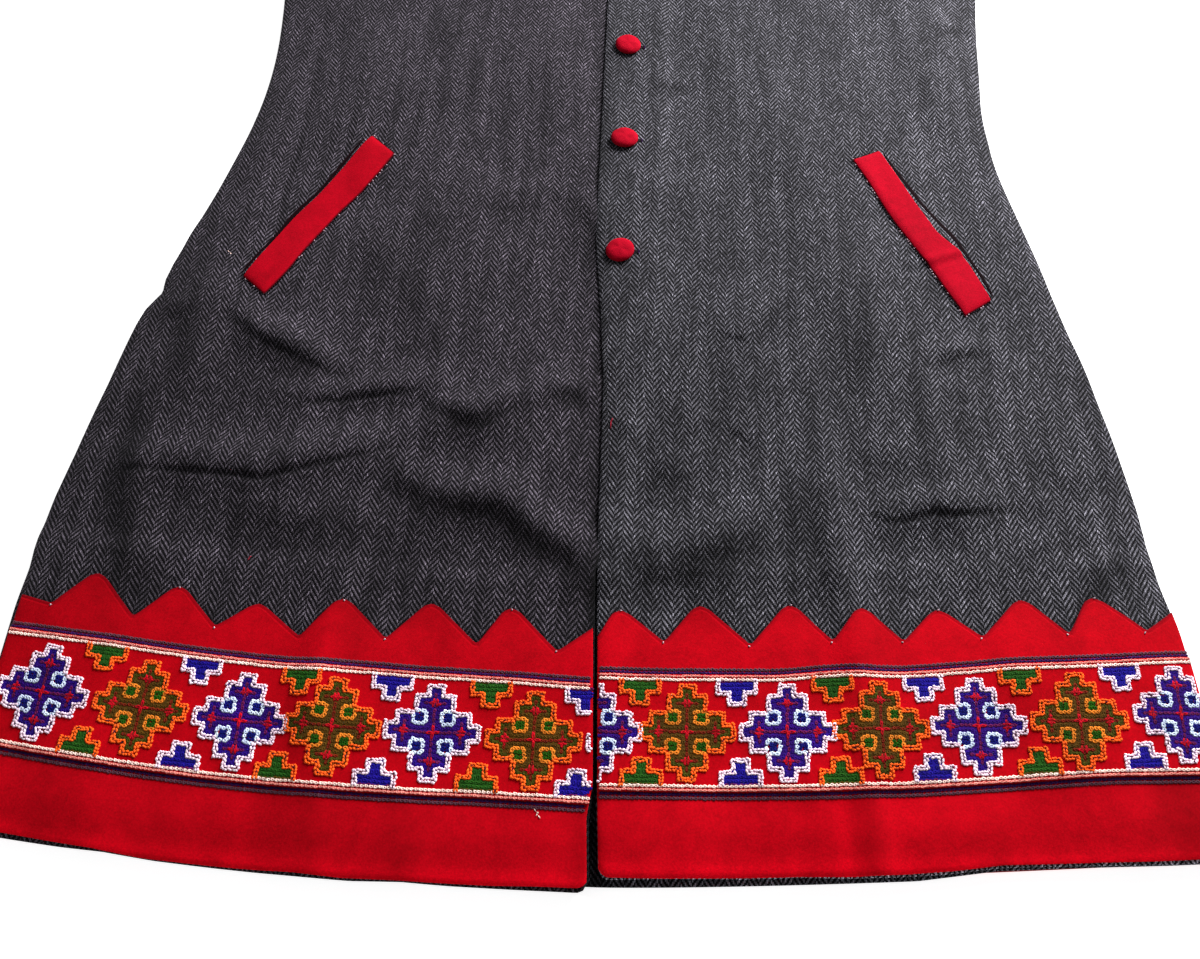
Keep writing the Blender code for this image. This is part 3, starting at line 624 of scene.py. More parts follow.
def addSheet(name, columns, rows, place, material, thickness, offset, edge, **paints):
    # the paints are functions that put numbers on the cloth, such as its painted light and shade
    shape = bmesh.new()
    bmesh.ops.create_grid(shape, x_segments=columns, y_segments=rows, size=0.5)
    mesh = takeMesh(name, shape)
    flat = np.zeros(len(mesh.vertices) * 3)
    mesh.vertices.foreach_get("co", flat)
    across, along = (np.clip(flat[start::3] + 0.5, 0.0, 1.0) for start in (0, 1))
    points = place(across, along)
    mesh.vertices.foreach_set("co", points.ravel())
    corners = np.zeros(len(mesh.loops), dtype=np.int32)
    mesh.loops.foreach_get("vertex_index", corners)
    mesh.uv_layers.new(name="cloth").data.foreach_set("uv", grain(points)[corners].ravel())
    for label, paint in paints.items():
        mesh.attributes.new(label, "FLOAT", "POINT").data.foreach_set("value", paint(across, along))
    mesh.update()
    mesh.shade_smooth()
    piece = addPiece(name, mesh, material)
    wall = piece.modifiers.new("wall", "SOLIDIFY")
    wall.thickness = thickness
    wall.offset = offset
    bevel = piece.modifiers.new("edge", "BEVEL")
    bevel.width = edge
    bevel.segments = 2
    bevel.limit_method = "ANGLE"
    bevel.angle_limit = math.radians(55.0)
    return piece


frontSheet = {
    "columns": 120,
    "rows": [0, 24, 60, 196, 292, 345],         # rows of the sheet up to each of these heights
    "heights": [0.0, 0.1, 0.138, 0.3, 0.56, 0.96],
    "edgeRound": 0.0006,
    "rim": 0.45,            # painted shade: how much darker the cloth is beside the points of the band
    "rimWide": 0.003,
    "fade": 0.006,          # and how far in from its edges the painted shade at its side and free edge reaches
    # painted shade where the front rolls down to its side, and along its free edge: on the under front, the
    # over front's shadow
    "sideDark": {"under": 0.3, "over": 0.1},
    "edgeDark": {"under": 0.94, "over": 0.12},
    # the distance from the buttons, and how far the hem is drawn up there
    "hems": {
        "under": [(0.0, 0.0), (0.062, 0.0004), (0.084, 0.0009), (0.106, 0.0), (0.15, 0.0004),
            (0.193, 0.0009), (0.215, 0.0019), (0.234, 0.0014), (0.29, 0.0009)],
        "over": [(0.0, 0.0), (0.028, 0.0008), (0.067, 0.0005), (0.088, 0.0009), (0.11, 0.0), (0.131, 0.0),
            (0.153, 0.0008), (0.175, 0.0027), (0.197, 0.0027), (0.218, 0.0022), (0.24, 0.0014),
            (0.285, 0.0012)],
    },
    "hemTone": {"under": 0.9, "over": 3.4},     # painted light and shade: how bright the cloth is at the hem itself
    # painted light and shade across the front: how much brighter the cloth grows out towards its side
    "sideTone": {"under": -0.04, "over": 0.17},
    # painted light and shade by height: the height, and how bright the cloth is there
    "tone": {
        "under": [(0.1, 1.14), (0.2, 1.09), (0.28, 1.16), (0.38, 1.2), (0.56, 1.18)],
        "over": [(0.1, 1.13), (0.16, 1.1), (0.205, 1.0), (0.26, 1.03), (0.4, 1.08), (0.56, 1.06)],
    },
}


def makeFront(side):
    rows = frontSheet["rows"][-1]

    def cutPlace(across, along):
        height = np.interp(along * rows, frontSheet["rows"], frontSheet["heights"])
        edge = frontEdge(side, height)
        out = edge + outward(side, across) * (halfWidth(side, "front", height) - edge)
        return out, height + read(frontSheet["hems"][side], out) * (1.0 - ramp(height, 0.0, 0.1))

    def place(across, along):
        return onFront(side, *cutPlace(across, along))

    # painted light and shade, multiplied into the tweed's colour: painted shade in the creases, beside the
    # points of the band, where the front rolls to its side and along its free edge, and painted light and
    # shade by height, across the front and at the hem
    def worn(across, along):
        out, height = cutPlace(across, along)
        fade = frontSheet["fade"]
        shade = foldCloth(side, *inPlan(onFront(side, out, height)))[1]
        above = height - np.interp(out - frontEdge(side, band["middle"]), *zigzags[side])
        rim = frontSheet["rim"] * np.exp(-(above / frontSheet["rimWide"]) ** 2)
        roll = frontSheet["sideDark"][side] * np.exp(-(halfWidth(side, "front", height) - out) / fade)
        free = frontSheet["edgeDark"][side] * np.exp(-(out - frontEdge(side, height)) / fade)
        hem = 1.0 + (frontSheet["hemTone"][side] - 1.0) * (1.0 - ramp(height, 0.001, 0.006))
        tone = read(frontSheet["tone"][side], height)
        tone = tone * (1.0 + frontSheet["sideTone"][side] * ramp(out, 0.06, 0.2))
        return tone * hem * (1.0 - shade) * (1.0 - rim) * (1.0 - roll) * (1.0 - free)

    label = side.capitalize()
    piece = addSheet("frontCloth" + label, frontSheet["columns"], rows, place, "tweed" + label,
                     vest["tweed"], -1.0, frontSheet["edgeRound"], worn=worn)
    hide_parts("front_" + side)
    return piece


backSheet = {
    # hemTone is painted light at the hem, and partingDark painted shade where the fronts part
    "columns": 96, "rows": 150, "edgeRound": 0.0006, "hemTone": 1.8,
    "partingDark": 0.8, "partingWide": 0.012,
    # the distance from the middle, and how far the hem is drawn up there
    "hems": [(-0.29, 0.0009), (-0.23, 0.0012), (-0.15, 0.0), (0.14, 0.0), (0.175, 0.0027), (0.2, 0.0027),
        (0.225, 0.0022), (0.25, 0.0016), (0.29, 0.0012)],
}


def makeBack():
    def place(across, along):
        share, height = 2.0 * across - 1.0, along * vest["length"]
        drawn = read(backSheet["hems"], share * halfWidth("over", "back", height))
        height = height + drawn * (1.0 - ramp(height, 0.0, 0.1))
        points = onBack(share, height, stepUp(height, vest["backStripSteps"], vest["backBandStep"]))
        points[:, 2] += foldCloth("back", *inPlan(points))[0]
        return points

    # painted light at the hem, and painted shade along the creases and where the fronts part
    def worn(across, along):
        x, y = inPlan(onBack(2.0 * across - 1.0, along * vest["length"]))
        # where the fronts part at the hem, its inner face is in their shade
        parting = np.exp(-(x / backSheet["partingWide"]) ** 2) * (1.0 - ramp(along, 0.11, 0.125))
        hem = 1.0 + (backSheet["hemTone"] - 1.0) * (1.0 - ramp(along, 0.0, 0.02))
        return hem * (1.0 - foldCloth("back", x, y)[1]) * (1.0 - backSheet["partingDark"] * parting)

    piece = addSheet("backCloth", backSheet["columns"], backSheet["rows"], place, "tweedOver",
                     vest["tweed"], 1.0, backSheet["edgeRound"], worn=worn)
    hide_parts("back_panel")
    return piece


# The red hem bands, with points cut by hand along the top.
band = {
    "low": 0.0024,
    # the distance from the front edge, and how far up the band starts there
    "hems": {
        "under": [(0.0, 0.0019), (0.024, 0.0019), (0.041, 0.0014), (0.084, 0.0014), (0.106, 0.001),
            (0.127, 0.0018), (0.15, 0.0014), (0.193, 0.0014), (0.215, 0.0029), (0.252, 0.0034),
            (0.29, 0.0034)],
        "over": [(0.0, 0.0012), (0.028, 0.0008), (0.088, 0.0011), (0.11, 0.0006), (0.131, 0.001),
            (0.153, 0.0019), (0.175, 0.0038), (0.218, 0.0034), (0.24, 0.0029), (0.285, 0.0029)],
    },
    # painted light and shade: how bright the cloth is below and above the strip
    "brightBelow": {"under": 1.18, "over": 1.2},
    "brightAbove": {"under": 0.92, "over": 0.98},
    # painted light and shade of soft folds across it: the distance from the front edge, how wide, and how
    # much brighter or darker
    "foldsBelow": {
        "under": [(0.0, 0.01, -0.3), (0.08, 0.012, -0.34), (0.121, 0.007, -0.28), (0.19, 0.016, -0.22),
            (0.24, 0.008, -0.22)],
        "over": [(0.107, 0.004, 0.22), (0.12, 0.006, -0.2), (0.133, 0.008, 0.16), (0.176, 0.012, -0.14),
            (0.26, 0.022, -0.42)],
    },
    "foldsAbove": {
        "under": [(0.0, 0.02, 0.1), (0.114, 0.01, -0.18), (0.232, 0.014, -0.2), (0.275, 0.03, -0.16)],
        "over": [(0.0, 0.015, 0.1), (0.113, 0.007, 0.26), (0.135, 0.014, -0.2), (0.22, 0.014, -0.18),
            (0.278, 0.018, -0.2)],
    },
    # painted light: the height above the strip, and how much brighter the cloth is there than at its points
    "toneRise": [(0.102, 1.16), (0.109, 1.08), (0.118, 1.0), (0.124, 0.91)],
    # painted light: the height above the hem, and how much brighter the band is where it bends down to its
    # lower edge
    "toneLow": [(0.003, 1.75), (0.006, 1.3), (0.009, 1.08), (0.013, 1.0)],
    "columns": 190,
    "rows": 46,
    "tipRound": 0.0042,
    "tipDrop": 0.0019,
    "middle": 0.1155,
    "edgeRound": 0.0004,
    "insets": {"under": (0.0009, 0.003), "over": (0.0004, 0.0004)},
    "ends": {"under": 0.1125, "over": 0.127},
    "starts": {"under": 0.1182, "over": 0.1068},
    # its points and the notches between them: distances from the front edge, and heights
    "tips": {
        "under": [(0.0404, 0.1262), (0.0796, 0.1272), (0.1219, 0.1262), (0.1633, 0.1208), (0.2038, 0.1254),
            (0.2445, 0.1262)],
        "over": [(0.0117, 0.1217), (0.0503, 0.1242), (0.0937, 0.1238), (0.128, 0.1213), (0.165, 0.1201),
            (0.206, 0.1235), (0.2412, 0.1232)],
    },
    "valleys": {
        "under": [(0.0178, 0.1052), (0.0561, 0.1072), (0.0996, 0.1077), (0.1406, 0.1055), (0.1822, 0.1073),
            (0.2226, 0.1074), (0.2625, 0.1074)],
        "over": [(0.0321, 0.1058), (0.0729, 0.104), (0.1118, 0.1049), (0.1458, 0.1046), (0.1837, 0.1055),
            (0.2242, 0.105), (0.2613, 0.1051)],
    },
    "back": {"columns": 168, "rows": 30, "pitch": 0.04, "high": 0.125, "low": 0.108, "inside": 0.9965},
}


def bandTop(side):
    # the zigzag line as distances from the front edge and heights, with its corners eased
    corners = [(0.0, band["starts"][side]), (0.3, band["ends"][side]), *band["valleys"][side]]
    for tip, top in band["tips"][side]:
        corners += [(tip, top)]
        corners += [(tip + way * band["tipRound"], top - band["tipDrop"]) for way in (-1.0, 1.0)]
    fine = np.arange(0.0, 0.3, 0.0005)
    wide = np.pad(read(sorted(corners), fine), 3, mode="edge")
    kernel = np.hanning(9)[1:-1]
    return fine, np.convolve(wide, kernel / kernel.sum(), mode="valid")


zigzags = {side: bandTop(side) for side in signs}


def acrossBand(side, share, height):
    near, far = band["insets"][side]
    edge = frontEdge(side, height) + near
    return edge + share * (halfWidth(side, "front", height) - far - edge)


def foldShading(part, side, where):
    tone = band["bright" + part][side]
    for place, wide, change in band["folds" + part][side]:
        tone = tone + change * np.exp(-((where - place) / wide) ** 2)
    return tone


def makeBand(side):
    edge = frontEdge(side, band["middle"])
    line = zigzags[side]
    slope = np.gradient(line[1], line[0])

    def reach(across, along):
        share = outward(side, across)
        where = acrossBand(side, share, band["middle"]) - edge
        low, high = read(band["hems"][side], where), np.interp(where, *line)
        return share, where, low + along * (high - low), high - low

    def place(across, along):
        share, where, height, deep = reach(across, along)
        return onFront(side, acrossBand(side, share, height), height, bandUp)

    def seam(across, along):
        share, where, height, deep = reach(across, along)
        return deep * (1.0 - along) / np.sqrt(1.0 + np.interp(where, line[0], slope) ** 2)

    # painted light and shade for the band, multiplied into its colour
    def tone(across, along):
        share, where, height, deep = reach(across, along)
        below = foldShading("Below", side, where) * read(band["toneLow"], height)
        above = foldShading("Above", side, where) * read(band["toneRise"], height)
        return below + (above - below) * smooth(height, 0.03, 0.096)

    piece = addSheet("bandCloth" + side.capitalize(), band["columns"], band["rows"], place, "redCloth",
                     vest["redCloth"], -1.0, band["edgeRound"], seam=seam, tone=tone)
    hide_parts("band_" + side)
    return piece


def makeBackBand():
    back = band["back"]
    count = round(float(halfWidth("under", "back", back["low"])) / back["pitch"])
    tips = np.arange(-count, count) / count + 0.5 / count
    where = np.sort(np.concatenate([np.arange(-count, count + 1) / count, tips]))
    high = np.where(np.isin(where, tips), back["high"], back["low"])

    def place(across, along):
        share = 2.0 * across - 1.0
        height = band["low"] + along * (np.interp(share, where, high) - band["low"])
        strips = vest["backStripSteps"]
        step = smooth(height, *strips[:2]) - smooth(height, *strips[2:])
        return onBack(share * back["inside"], height, bandUp * step)

    piece = addSheet("bandClothBack", back["columns"], back["rows"], place, "redCloth",
                     vest["redCloth"], 1.0, band["edgeRound"], seam=evenly, tone=evenly)
    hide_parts("band_back")
    return piece


# The strips lie a little unevenly: heights of the two pale border rows along each front.
borders = {
    "under": {
        "x": [-0.29, -0.229, -0.176, -0.142, -0.104, -0.056, -0.004],
        "top": [0.09, 0.0915, 0.0903, 0.0893, 0.09, 0.0892, 0.0875],
        "bottom": [0.0415, 0.0402, 0.0393, 0.0388, 0.039, 0.0396, 0.0388],
    },
    "over": {
        "x": [-0.006, 0.046, 0.084, 0.108, 0.138, 0.187, 0.225, 0.285],
        "top": [0.0873, 0.0873, 0.0863, 0.0881, 0.0866, 0.0889, 0.0885, 0.0893],
        "bottom": [0.0394, 0.039, 0.0386, 0.0385, 0.0385, 0.0402, 0.0412, 0.0398],
    },
}
strip = {
    "columns": 96, "rows": 18, "middle": 0.065, "over": 0.0026, "edgeRound": 0.0003,
    "back": {
        "columns": 80, "rows": 12, "low": 0.0384, "high": 0.0924, "up": 0.0005, "thick": 0.0007,
        "edgeRound": 0.0002,
    },
}


def borderHeight(side, level, x):
    # passes gently through the heights of a border row
    row = borders[side]
    return sum(np.interp(x + shift, row["x"], row[level]) for shift in (0.0, -0.006, 0.006)) / 3.0


def makeStrip(side):
    def place(across, along):
        share = outward(side, across)
        x = signs[side] * acrossBand(side, share, strip["middle"])
        low = borderHeight(side, "bottom", x) - strip["over"]
        high = borderHeight(side, "top", x) + strip["over"]
        height = low + along * (high - low)
        return onFront(side, acrossBand(side, share, height), height, stripUp)

    piece = addSheet("stripCloth" + side.capitalize(), strip["columns"], strip["rows"], place, "stripCloth",
                     vest["stripCloth"], -1.0, strip["edgeRound"])
    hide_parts("strip_" + side)
    return piece


def makeBackStrip():
    back = strip["back"]

    def place(across, along):
        height = back["low"] + along * (back["high"] - back["low"])
        return onBack((2.0 * across - 1.0) * band["back"]["inside"], height, back["up"])

    piece = addSheet("stripClothBack", back["columns"], back["rows"], place, "stripCloth",
                     back["thick"], 1.0, back["edgeRound"])
    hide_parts("strip_back")
    return piece


# Pocket welts: a folded red strip, stitched down round three sides, and the pocket's mouth in painted shade.
welt = {
    "place": {"under": (0.1779, 0.3687), "over": (0.1769, 0.3713)},
    "lean": {"under": 28.0, "over": 26.2},
    "length": 0.1255, "half": 0.0099,
    # how far up the strip each end lies, at the sewn edge and at the fold: both ends are cut a little aslant
    "ends": {"under": ((-0.0655, -0.0617), (0.0597, 0.0648)), "over": ((-0.0643, -0.0611), (0.0632, 0.063))},
    "columns": 20, "rows": 70, "puff": 0.0007, "edgeRound": 0.0005,
    # share along from the low end, and how far the fold, the sewn edge and the mouth lie from the middle
    "fold": {
        "under": [(0.0, 0.0093), (0.14, 0.0101), (0.23, 0.0107), (0.3, 0.0112), (0.39, 0.0116),
            (0.47, 0.011), (0.55, 0.0102), (0.62, 0.01), (0.77, 0.0102), (0.85, 0.0106), (0.92, 0.0107),
            (1.0, 0.01)],
        "over": [(0.0, 0.0085), (0.1, 0.0092), (0.17, 0.0099), (0.25, 0.0103), (0.31, 0.0103),
            (0.37, 0.0079), (0.43, 0.0057), (0.53, 0.0062), (0.66, 0.0069), (0.79, 0.0075), (0.9, 0.008),
            (1.0, 0.009)],
    },
    "seam": {
        "under": [(0.0, -0.009), (0.09, -0.0097), (0.19, -0.0098), (0.28, -0.0087), (0.38, -0.0082),
            (0.56, -0.0084), (0.64, -0.0094), (0.72, -0.0108), (0.89, -0.0111), (1.0, -0.0104)],
        "over": [(0.0, -0.0113), (0.05, -0.0113), (0.12, -0.0118), (0.27, -0.0112), (0.42, -0.0122),
            (0.51, -0.0121), (0.62, -0.0119), (0.72, -0.0114), (0.88, -0.0101), (1.0, -0.0098)],
    },
    "slit": {
        "under": [(0.0, 0.0119), (0.08, 0.0121), (0.17, 0.0124), (0.33, 0.0128), (0.41, 0.0134),
            (0.5, 0.0131), (0.58, 0.0123), (0.65, 0.012), (0.74, 0.0124), (0.83, 0.013), (0.89, 0.0137),
            (1.0, 0.013)],
        "over": [(0.0, 0.0106), (0.06, 0.0116), (0.16, 0.013), (0.26, 0.0134), (0.37, 0.0134),
            (0.48, 0.0115), (0.64, 0.0102), (0.81, 0.0096), (0.93, 0.01), (1.0, 0.0104)],
    },
    "bend": 0.29,            # where a soft fold crosses the strip on the over front
    "bendWide": 0.018,
    "bendRise": {"under": 0.0, "over": 0.0009},
    "sewnDown": 0.0009,      # the sewn edges are pressed into the cloth
}


def acrossWelt(side, run, reach):
    # the plan place of a point on a welt, run up along it and reach out towards the side seam
    middle, height = welt["place"][side]
    lean = math.radians(welt["lean"][side])
    c, s = math.cos(lean), math.sin(lean)
    return signs[side] * (middle + reach * c - run * s), height + reach * s + run * c


def weltRun(side, along, share):
    # how far up the strip a place is, by its share along and its share from the sewn edge to the fold
    low, high = (seam + share * (fold - seam) for seam, fold in welt["ends"][side])
    return low + along * (high - low)


def weltEdges(side, share):
    # where the fold, the sewn edge and the mouth are, each line with its corners eased
    shares = [np.clip(share + shift, 0.0, 1.0) for shift in (-0.02, 0.0, 0.02)]
    return [sum(read(welt[line][side], near) for near in shares) / 3.0 for line in ("fold", "seam", "slit")]


def makeWelt(side):
    def place(across, along):
        fold, seam, slit = weltEdges(side, along)
        share = outward(side, across)
        x, y = acrossWelt(side, weltRun(side, along, share), seam + share * (fold - seam))
        puff = welt["puff"] * np.sqrt(np.clip(share, 0.0, 1.0)) * (1.0 - np.abs(2.0 * along - 1.0) ** 8)
        bend = (along - welt["bend"] + 0.03 * (share - 0.5)) / welt["bendWide"]
        fold = bend * np.exp(-bend ** 2 / 2.0) + 0.5 * np.exp(-bend ** 2 / 8.0)
        puff = puff + welt["bendRise"][side] * fold
        held = 1.0 - np.minimum(ramp(share, 0.0, 0.22), ramp(np.minimum(along, 1.0 - along), 0.0, 0.03))
        return faceAt(side, x, y, bandUp + puff - welt["sewnDown"] * held ** 2)

    def seam(across, along):
        toEnd = np.minimum(along, 1.0 - along) * welt["length"]
        return np.minimum(outward(side, across) * 2.0 * welt["half"], toEnd)

    label = side.capitalize()
    piece = addSheet("weltCloth" + label, welt["columns"], welt["rows"], place, "welt" + label,
                     vest["redCloth"], -1.0, welt["edgeRound"], seam=seam, tone=evenly)
    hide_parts("welt_" + side)
    return piece


mouth = {
    "rows": 60, "start": 0.03, "end": 0.985, "wide": 0.0027, "up": 0.0008, "wall": (0.00025, -1.0, 0.00005),
    "lipUp": 0.0008, "lipLow": 0.0007, "tucked": 0.0008, "lipTone": 1.5, "lipWall": (0.0006, -1.0, 0.0001),
}


def besideWelt(side, across, along):
    # the share out from a welt, how far up it a place is, and how far out its fold and the mouth are there
    share = mouth["start"] + along * (mouth["end"] - mouth["start"])
    fold, seam, slit = weltEdges(side, share)
    return outward(side, across), (share - 0.5) * welt["length"], fold, slit


def makeMouth(side):
    # the pocket's own cloth, made near black as painted shade in the line between the welt and the front
    def place(across, along):
        share, run, fold, slit = besideWelt(side, across, along)
        gape = np.clip(np.sin(np.pi * along), 0.0, 1.0) ** 0.4 * (1.0 + 0.25 * np.sin(17.0 * along + 1.0))
        x, y = acrossWelt(side, run, slit + mouth["wide"] * gape * (share - 0.5))
        return faceAt(side, x, y, mouth["up"])

    piece = addSheet("pocketMouth" + side.capitalize(), 2, mouth["rows"], place, "pocketShade", *mouth["wall"])
    return piece


def makeLip(side):
    # the turned tweed edge that shows between the welt and the mouth
    def place(across, along):
        share, run, fold, slit = besideWelt(side, across, along)
        start = fold - mouth["tucked"]
        x, y = acrossWelt(side, run, start + (slit - 0.45 * mouth["wide"] - start) * share)
        return faceAt(side, x, y, mouth["lipLow"] + mouth["lipUp"] * np.sin(np.pi * (0.15 + 0.7 * share)))

    # painted light: the lip is brighter than the tweed it is cut from
    def worn(across, along):
        return mouth["lipTone"] * evenly(across, along)

    label = side.capitalize()
    piece = addSheet("pocketLip" + label, 6, mouth["rows"], place, "tweed" + label, *mouth["lipWall"],
                     worn=worn)
    return piece


# Buttons covered with the red cloth. Each one sits a little differently on its shank.
button = {
    "radius": 0.0083, "rise": 0.0034, "steps": 40,
    "heights": [0.3432, 0.4305, 0.5138, 0.5985, 0.6825, 0.766],
    "profile": [(0.0, 1.0), (0.3, 0.985), (0.54, 0.945), (0.71, 0.88), (0.84, 0.77), (0.93, 0.62),
        (0.985, 0.45), (1.0, 0.3), (0.985, 0.17), (0.93, 0.07), (0.82, 0.01), (0.6, 0.0), (0.0, 0.0)],
    "gathers": 17, "gather": 0.016,
    "tilts": [(4.0, -3.0), (-1.5, 2.0), (2.0, 2.5), (-3.0, -1.5), (1.5, -3.0), (-1.0, 2.0)],
    "across": 0.965, "uneven": 0.00012, "up": 0.0004, "holeEnd": 0.0108,
}


def spinRound(shape, steps, near):
    bmesh.ops.spin(shape, geom=shape.verts[:] + shape.edges[:], cent=(0, 0, 0), axis=(0, 0, 1),
                   dvec=(0, 0, 0), angle=math.tau, steps=steps, use_merge=True)
    bmesh.ops.remove_doubles(shape, verts=shape.verts, dist=near)
    bmesh.ops.recalc_face_normals(shape, faces=shape.faces)


def makeButton(number, tiltX, tiltY):
    shape = bmesh.new()
    line = [shape.verts.new((r * button["radius"], 0.0, up * button["rise"])) for r, up in button["profile"]]
    for start, end in zip(line, line[1:]):
        shape.edges.new((start, end))
    spinRound(shape, button["steps"], 0.00005)
    for corner in shape.verts:
        # the cloth gathers towards the back, and the dome under it isn't quite even
        angle = math.atan2(corner.co.y, corner.co.x)
        low = 1.0 - min(corner.co.z / (0.6 * button["rise"]), 1.0)
        pleat = math.sin(button["gathers"] * angle + number) * (0.6 + 0.4 * math.sin(3.0 * angle))
        bulge = 1.0 + button["gather"] * low * pleat + 0.018 * math.sin(2.0 * angle + 1.7 * number)
        corner.co.x *= bulge
        corner.co.y *= bulge * button["across"]
        corner.co.z += button["uneven"] * math.sin(4.0 * angle + number) * (1.0 - low)
    height = np.array([button["heights"][number]])
    spot = onFront("over", np.array([0.0]), height, vest["gap"] + button["up"])[0]
    turn = Matrix.Rotation(math.radians(tiltX), 3, "X") @ Matrix.Rotation(math.radians(tiltY), 3, "Y")
    bmesh.ops.rotate(shape, verts=shape.verts, cent=(0, 0, 0), matrix=turn)
    bmesh.ops.translate(shape, verts=shape.verts, vec=spot)
    name = "buttonCover{}".format(number + 1)
    mesh = takeMesh(name, shape)
    mesh.shade_smooth()
    piece = addPiece(name, mesh, "buttonCloth")
    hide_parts("button_{}".format(number + 1))


cloths = {"back": makeBack(), "bandBack": makeBackBand(), "stripBack": makeBackStrip()}
makers = {
    "front": makeFront, "band": makeBand, "strip": makeStrip,
    "welt": makeWelt, "mouth": makeMouth, "lip": makeLip,
}
for side in signs:
    for kind, make in makers.items():
        cloths[kind + side] = make(side)
for number, tilts in enumerate(button["tilts"]):
    makeButton(number, *tilts)
print("cloth sheets and buttons made")


# Embroidery: every stitch is one loop or one short length of yarn, laid where its strip is.
link = {"sides": 4, "turns": 5, "yarn": 0.21, "loop": 0.29, "pinch": 0.55, "drawn": 1.35, "flat": 0.8}
twin = {"apart": 0.00058, "overlap": 1.45, "slant": 0.34}
# from stitch to stitch along a row, and how wide and tall each one is
sizes = {
    "twin": (0.0015, 0.00134, 0.001),
    "furrow": (0.0021, 0.00062, 0.0013),
    "ring": (0.0019, 0.0029, 0.0016),
    "body": (0.0021, 0.0023, 0.001),
    "middle": (0.0021, 0.0022, 0.0011),
    "barUp": (0.0038, 0.0019, 0.0013),
    "barAcross": (0.0027, 0.0019, 0.0013),
    "dot": (0.0021, 0.0023, 0.0015),
    "star": (0.0032, 0.0022, 0.0015),
    "half": (0.0021, 0.0023, 0.0011),
    "thread": (0.0019, 0.0009, 0.0011),
    "hole": (0.0008, 0.0008, 0.0006),
    "holeEnd": (0.0008, 0.0009, 0.0007),
}
unit = 0.00046            # one step of the chart
chart = {
    "outline": [(0, 46), (7, 46), (7, 36), (18.5, 36), (18.5, 20.3), (8.2, 20.3), (8.2, 8.2), (20.3, 8.2),
        (20.3, 18.5), (36, 18.5), (36, 7), (46, 7), (46, 0)],
    "body": [(0, 41.5), (3.0, 41.5), (3.0, 31.8), (14.3, 31.8), (14.3, 24.8), (4.0, 24.8), (4.0, 4.0),
        (24.8, 4.0), (24.8, 14.3), (31.8, 14.3), (31.8, 3.0), (41.5, 3.0), (41.5, 0)],
    "spine": [(0, 0), (0, 38)],
    "head": [(-11, 28.3), (11, 28.3)],
    "dot": (14.2, 14.2),
    "half": [(-19, 0), (-19, 13.7), (-7.5, 13.7), (-7.5, 25), (7.5, 25), (7.5, 13.7), (19, 13.7), (19, 0)],
    "halfRows": [[(-16, 1.6), (16, 1.6)], [(-15.5, 5.4), (15.5, 5.4)], [(-15.5, 9.3), (15.5, 9.3)],
        [(-2.3, 11.5), (-2.3, 22)], [(2.3, 11.5), (2.3, 22)]],
}
yarns = {
    "white": (0.93, 0.71, 0.84),
    "whiteRing": (0.66, 0.76, 0.97),
    "blue": (0.018, 0.002, 0.175),
    "indigo": (0.024, 0.002, 0.145),
    "plum": (0.11, 0.006, 0.06),
    "navy": (0.004, 0.006, 0.145),
    "orange": (0.98, 0.12, 0.012),
    "orangeRing": (0.66, 0.19, 0.016),
    "olive": (0.074, 0.034, 0.002),
    "moss": (0.046, 0.048, 0.002),
    "rust": (0.15, 0.01, 0.002),
    "green": (0.012, 0.075, 0.001),
    "leaf": (0.014, 0.076, 0.006),
    "royal": (0.01, 0.004, 0.215),
    "red": (0.46, 0.001, 0.01),
    "cream": (0.96, 0.7, 0.62),
    "salmon": (0.78, 0.25, 0.21),
    "shadow": (0.075, 0.008, 0.03),
    "plaitDark": (0.036, 0.006, 0.075),
    "plaitGrey": (0.092, 0.032, 0.05),
    "thread": (0.012, 0.008, 0.012),
    "pale": (0.52, 0.38, 0.44),
    "lint": (0.3, 0.012, 0.03),
}
crossYarns = {
    "white": ("white", "whiteRing", "indigo", "blue", "plum", "navy"),
    "orange": ("orange", "orangeRing", "olive", "moss", "rust", "green"),
}
halfYarns = {"green": ("orange", "leaf", "olive"), "blue": ("white", "royal", "plum")}
levels = (("top", -1.0), ("bottom", 1.0))
# place along the front, kind, height of the centre and lean
crosses = {
    "under": [(-0.2592, "white", 0.0653, 1.0), (-0.2121, "orange", 0.0648, 1.0),
        (-0.1652, "white", 0.0635, 0.5), (-0.1223, "orange", 0.0642, 0.5), (-0.0768, "white", 0.0646, 0.0),
        (-0.0306, "orange", 0.0631, 0.0), (0.0155, "white", 0.063, 0.0)],
    "over": [(-0.0034, "white", 0.0626, 0.0), (0.039, "orange", 0.063, 0.5), (0.0848, "white", 0.0624, 1.0),
        (0.127, "orange", 0.0626, 1.0), (0.1719, "white", 0.0632, 1.5), (0.2179, "orange", 0.0636, 2.0),
        (0.265, "white", 0.065, 2.5)],
}
# halves of smaller crosses stand between them, along the top and the bottom of the strip
halves = {
    "under": {
        "top": [(-0.2339, "green"), (-0.1882, "blue"), (-0.1398, "green"), (-0.0975, "blue"),
            (-0.0515, "green"), (-0.0075, "blue")],
        "bottom": [(-0.2352, "green"), (-0.1892, "blue"), (-0.1445, "green"), (-0.1002, "blue"),
            (-0.0548, "green"), (-0.0101, "blue")],
    },
    "over": {
        "top": [(0.0172, "green"), (0.0621, "blue"), (0.1063, "green"), (0.1486, "blue"), (0.1934, "green"),
            (0.24, "blue")],
        "bottom": [(0.0185, "green"), (0.0631, "blue"), (0.1075, "green"), (0.1495, "blue"),
            (0.1972, "green"), (0.2446, "blue")],
    },
}
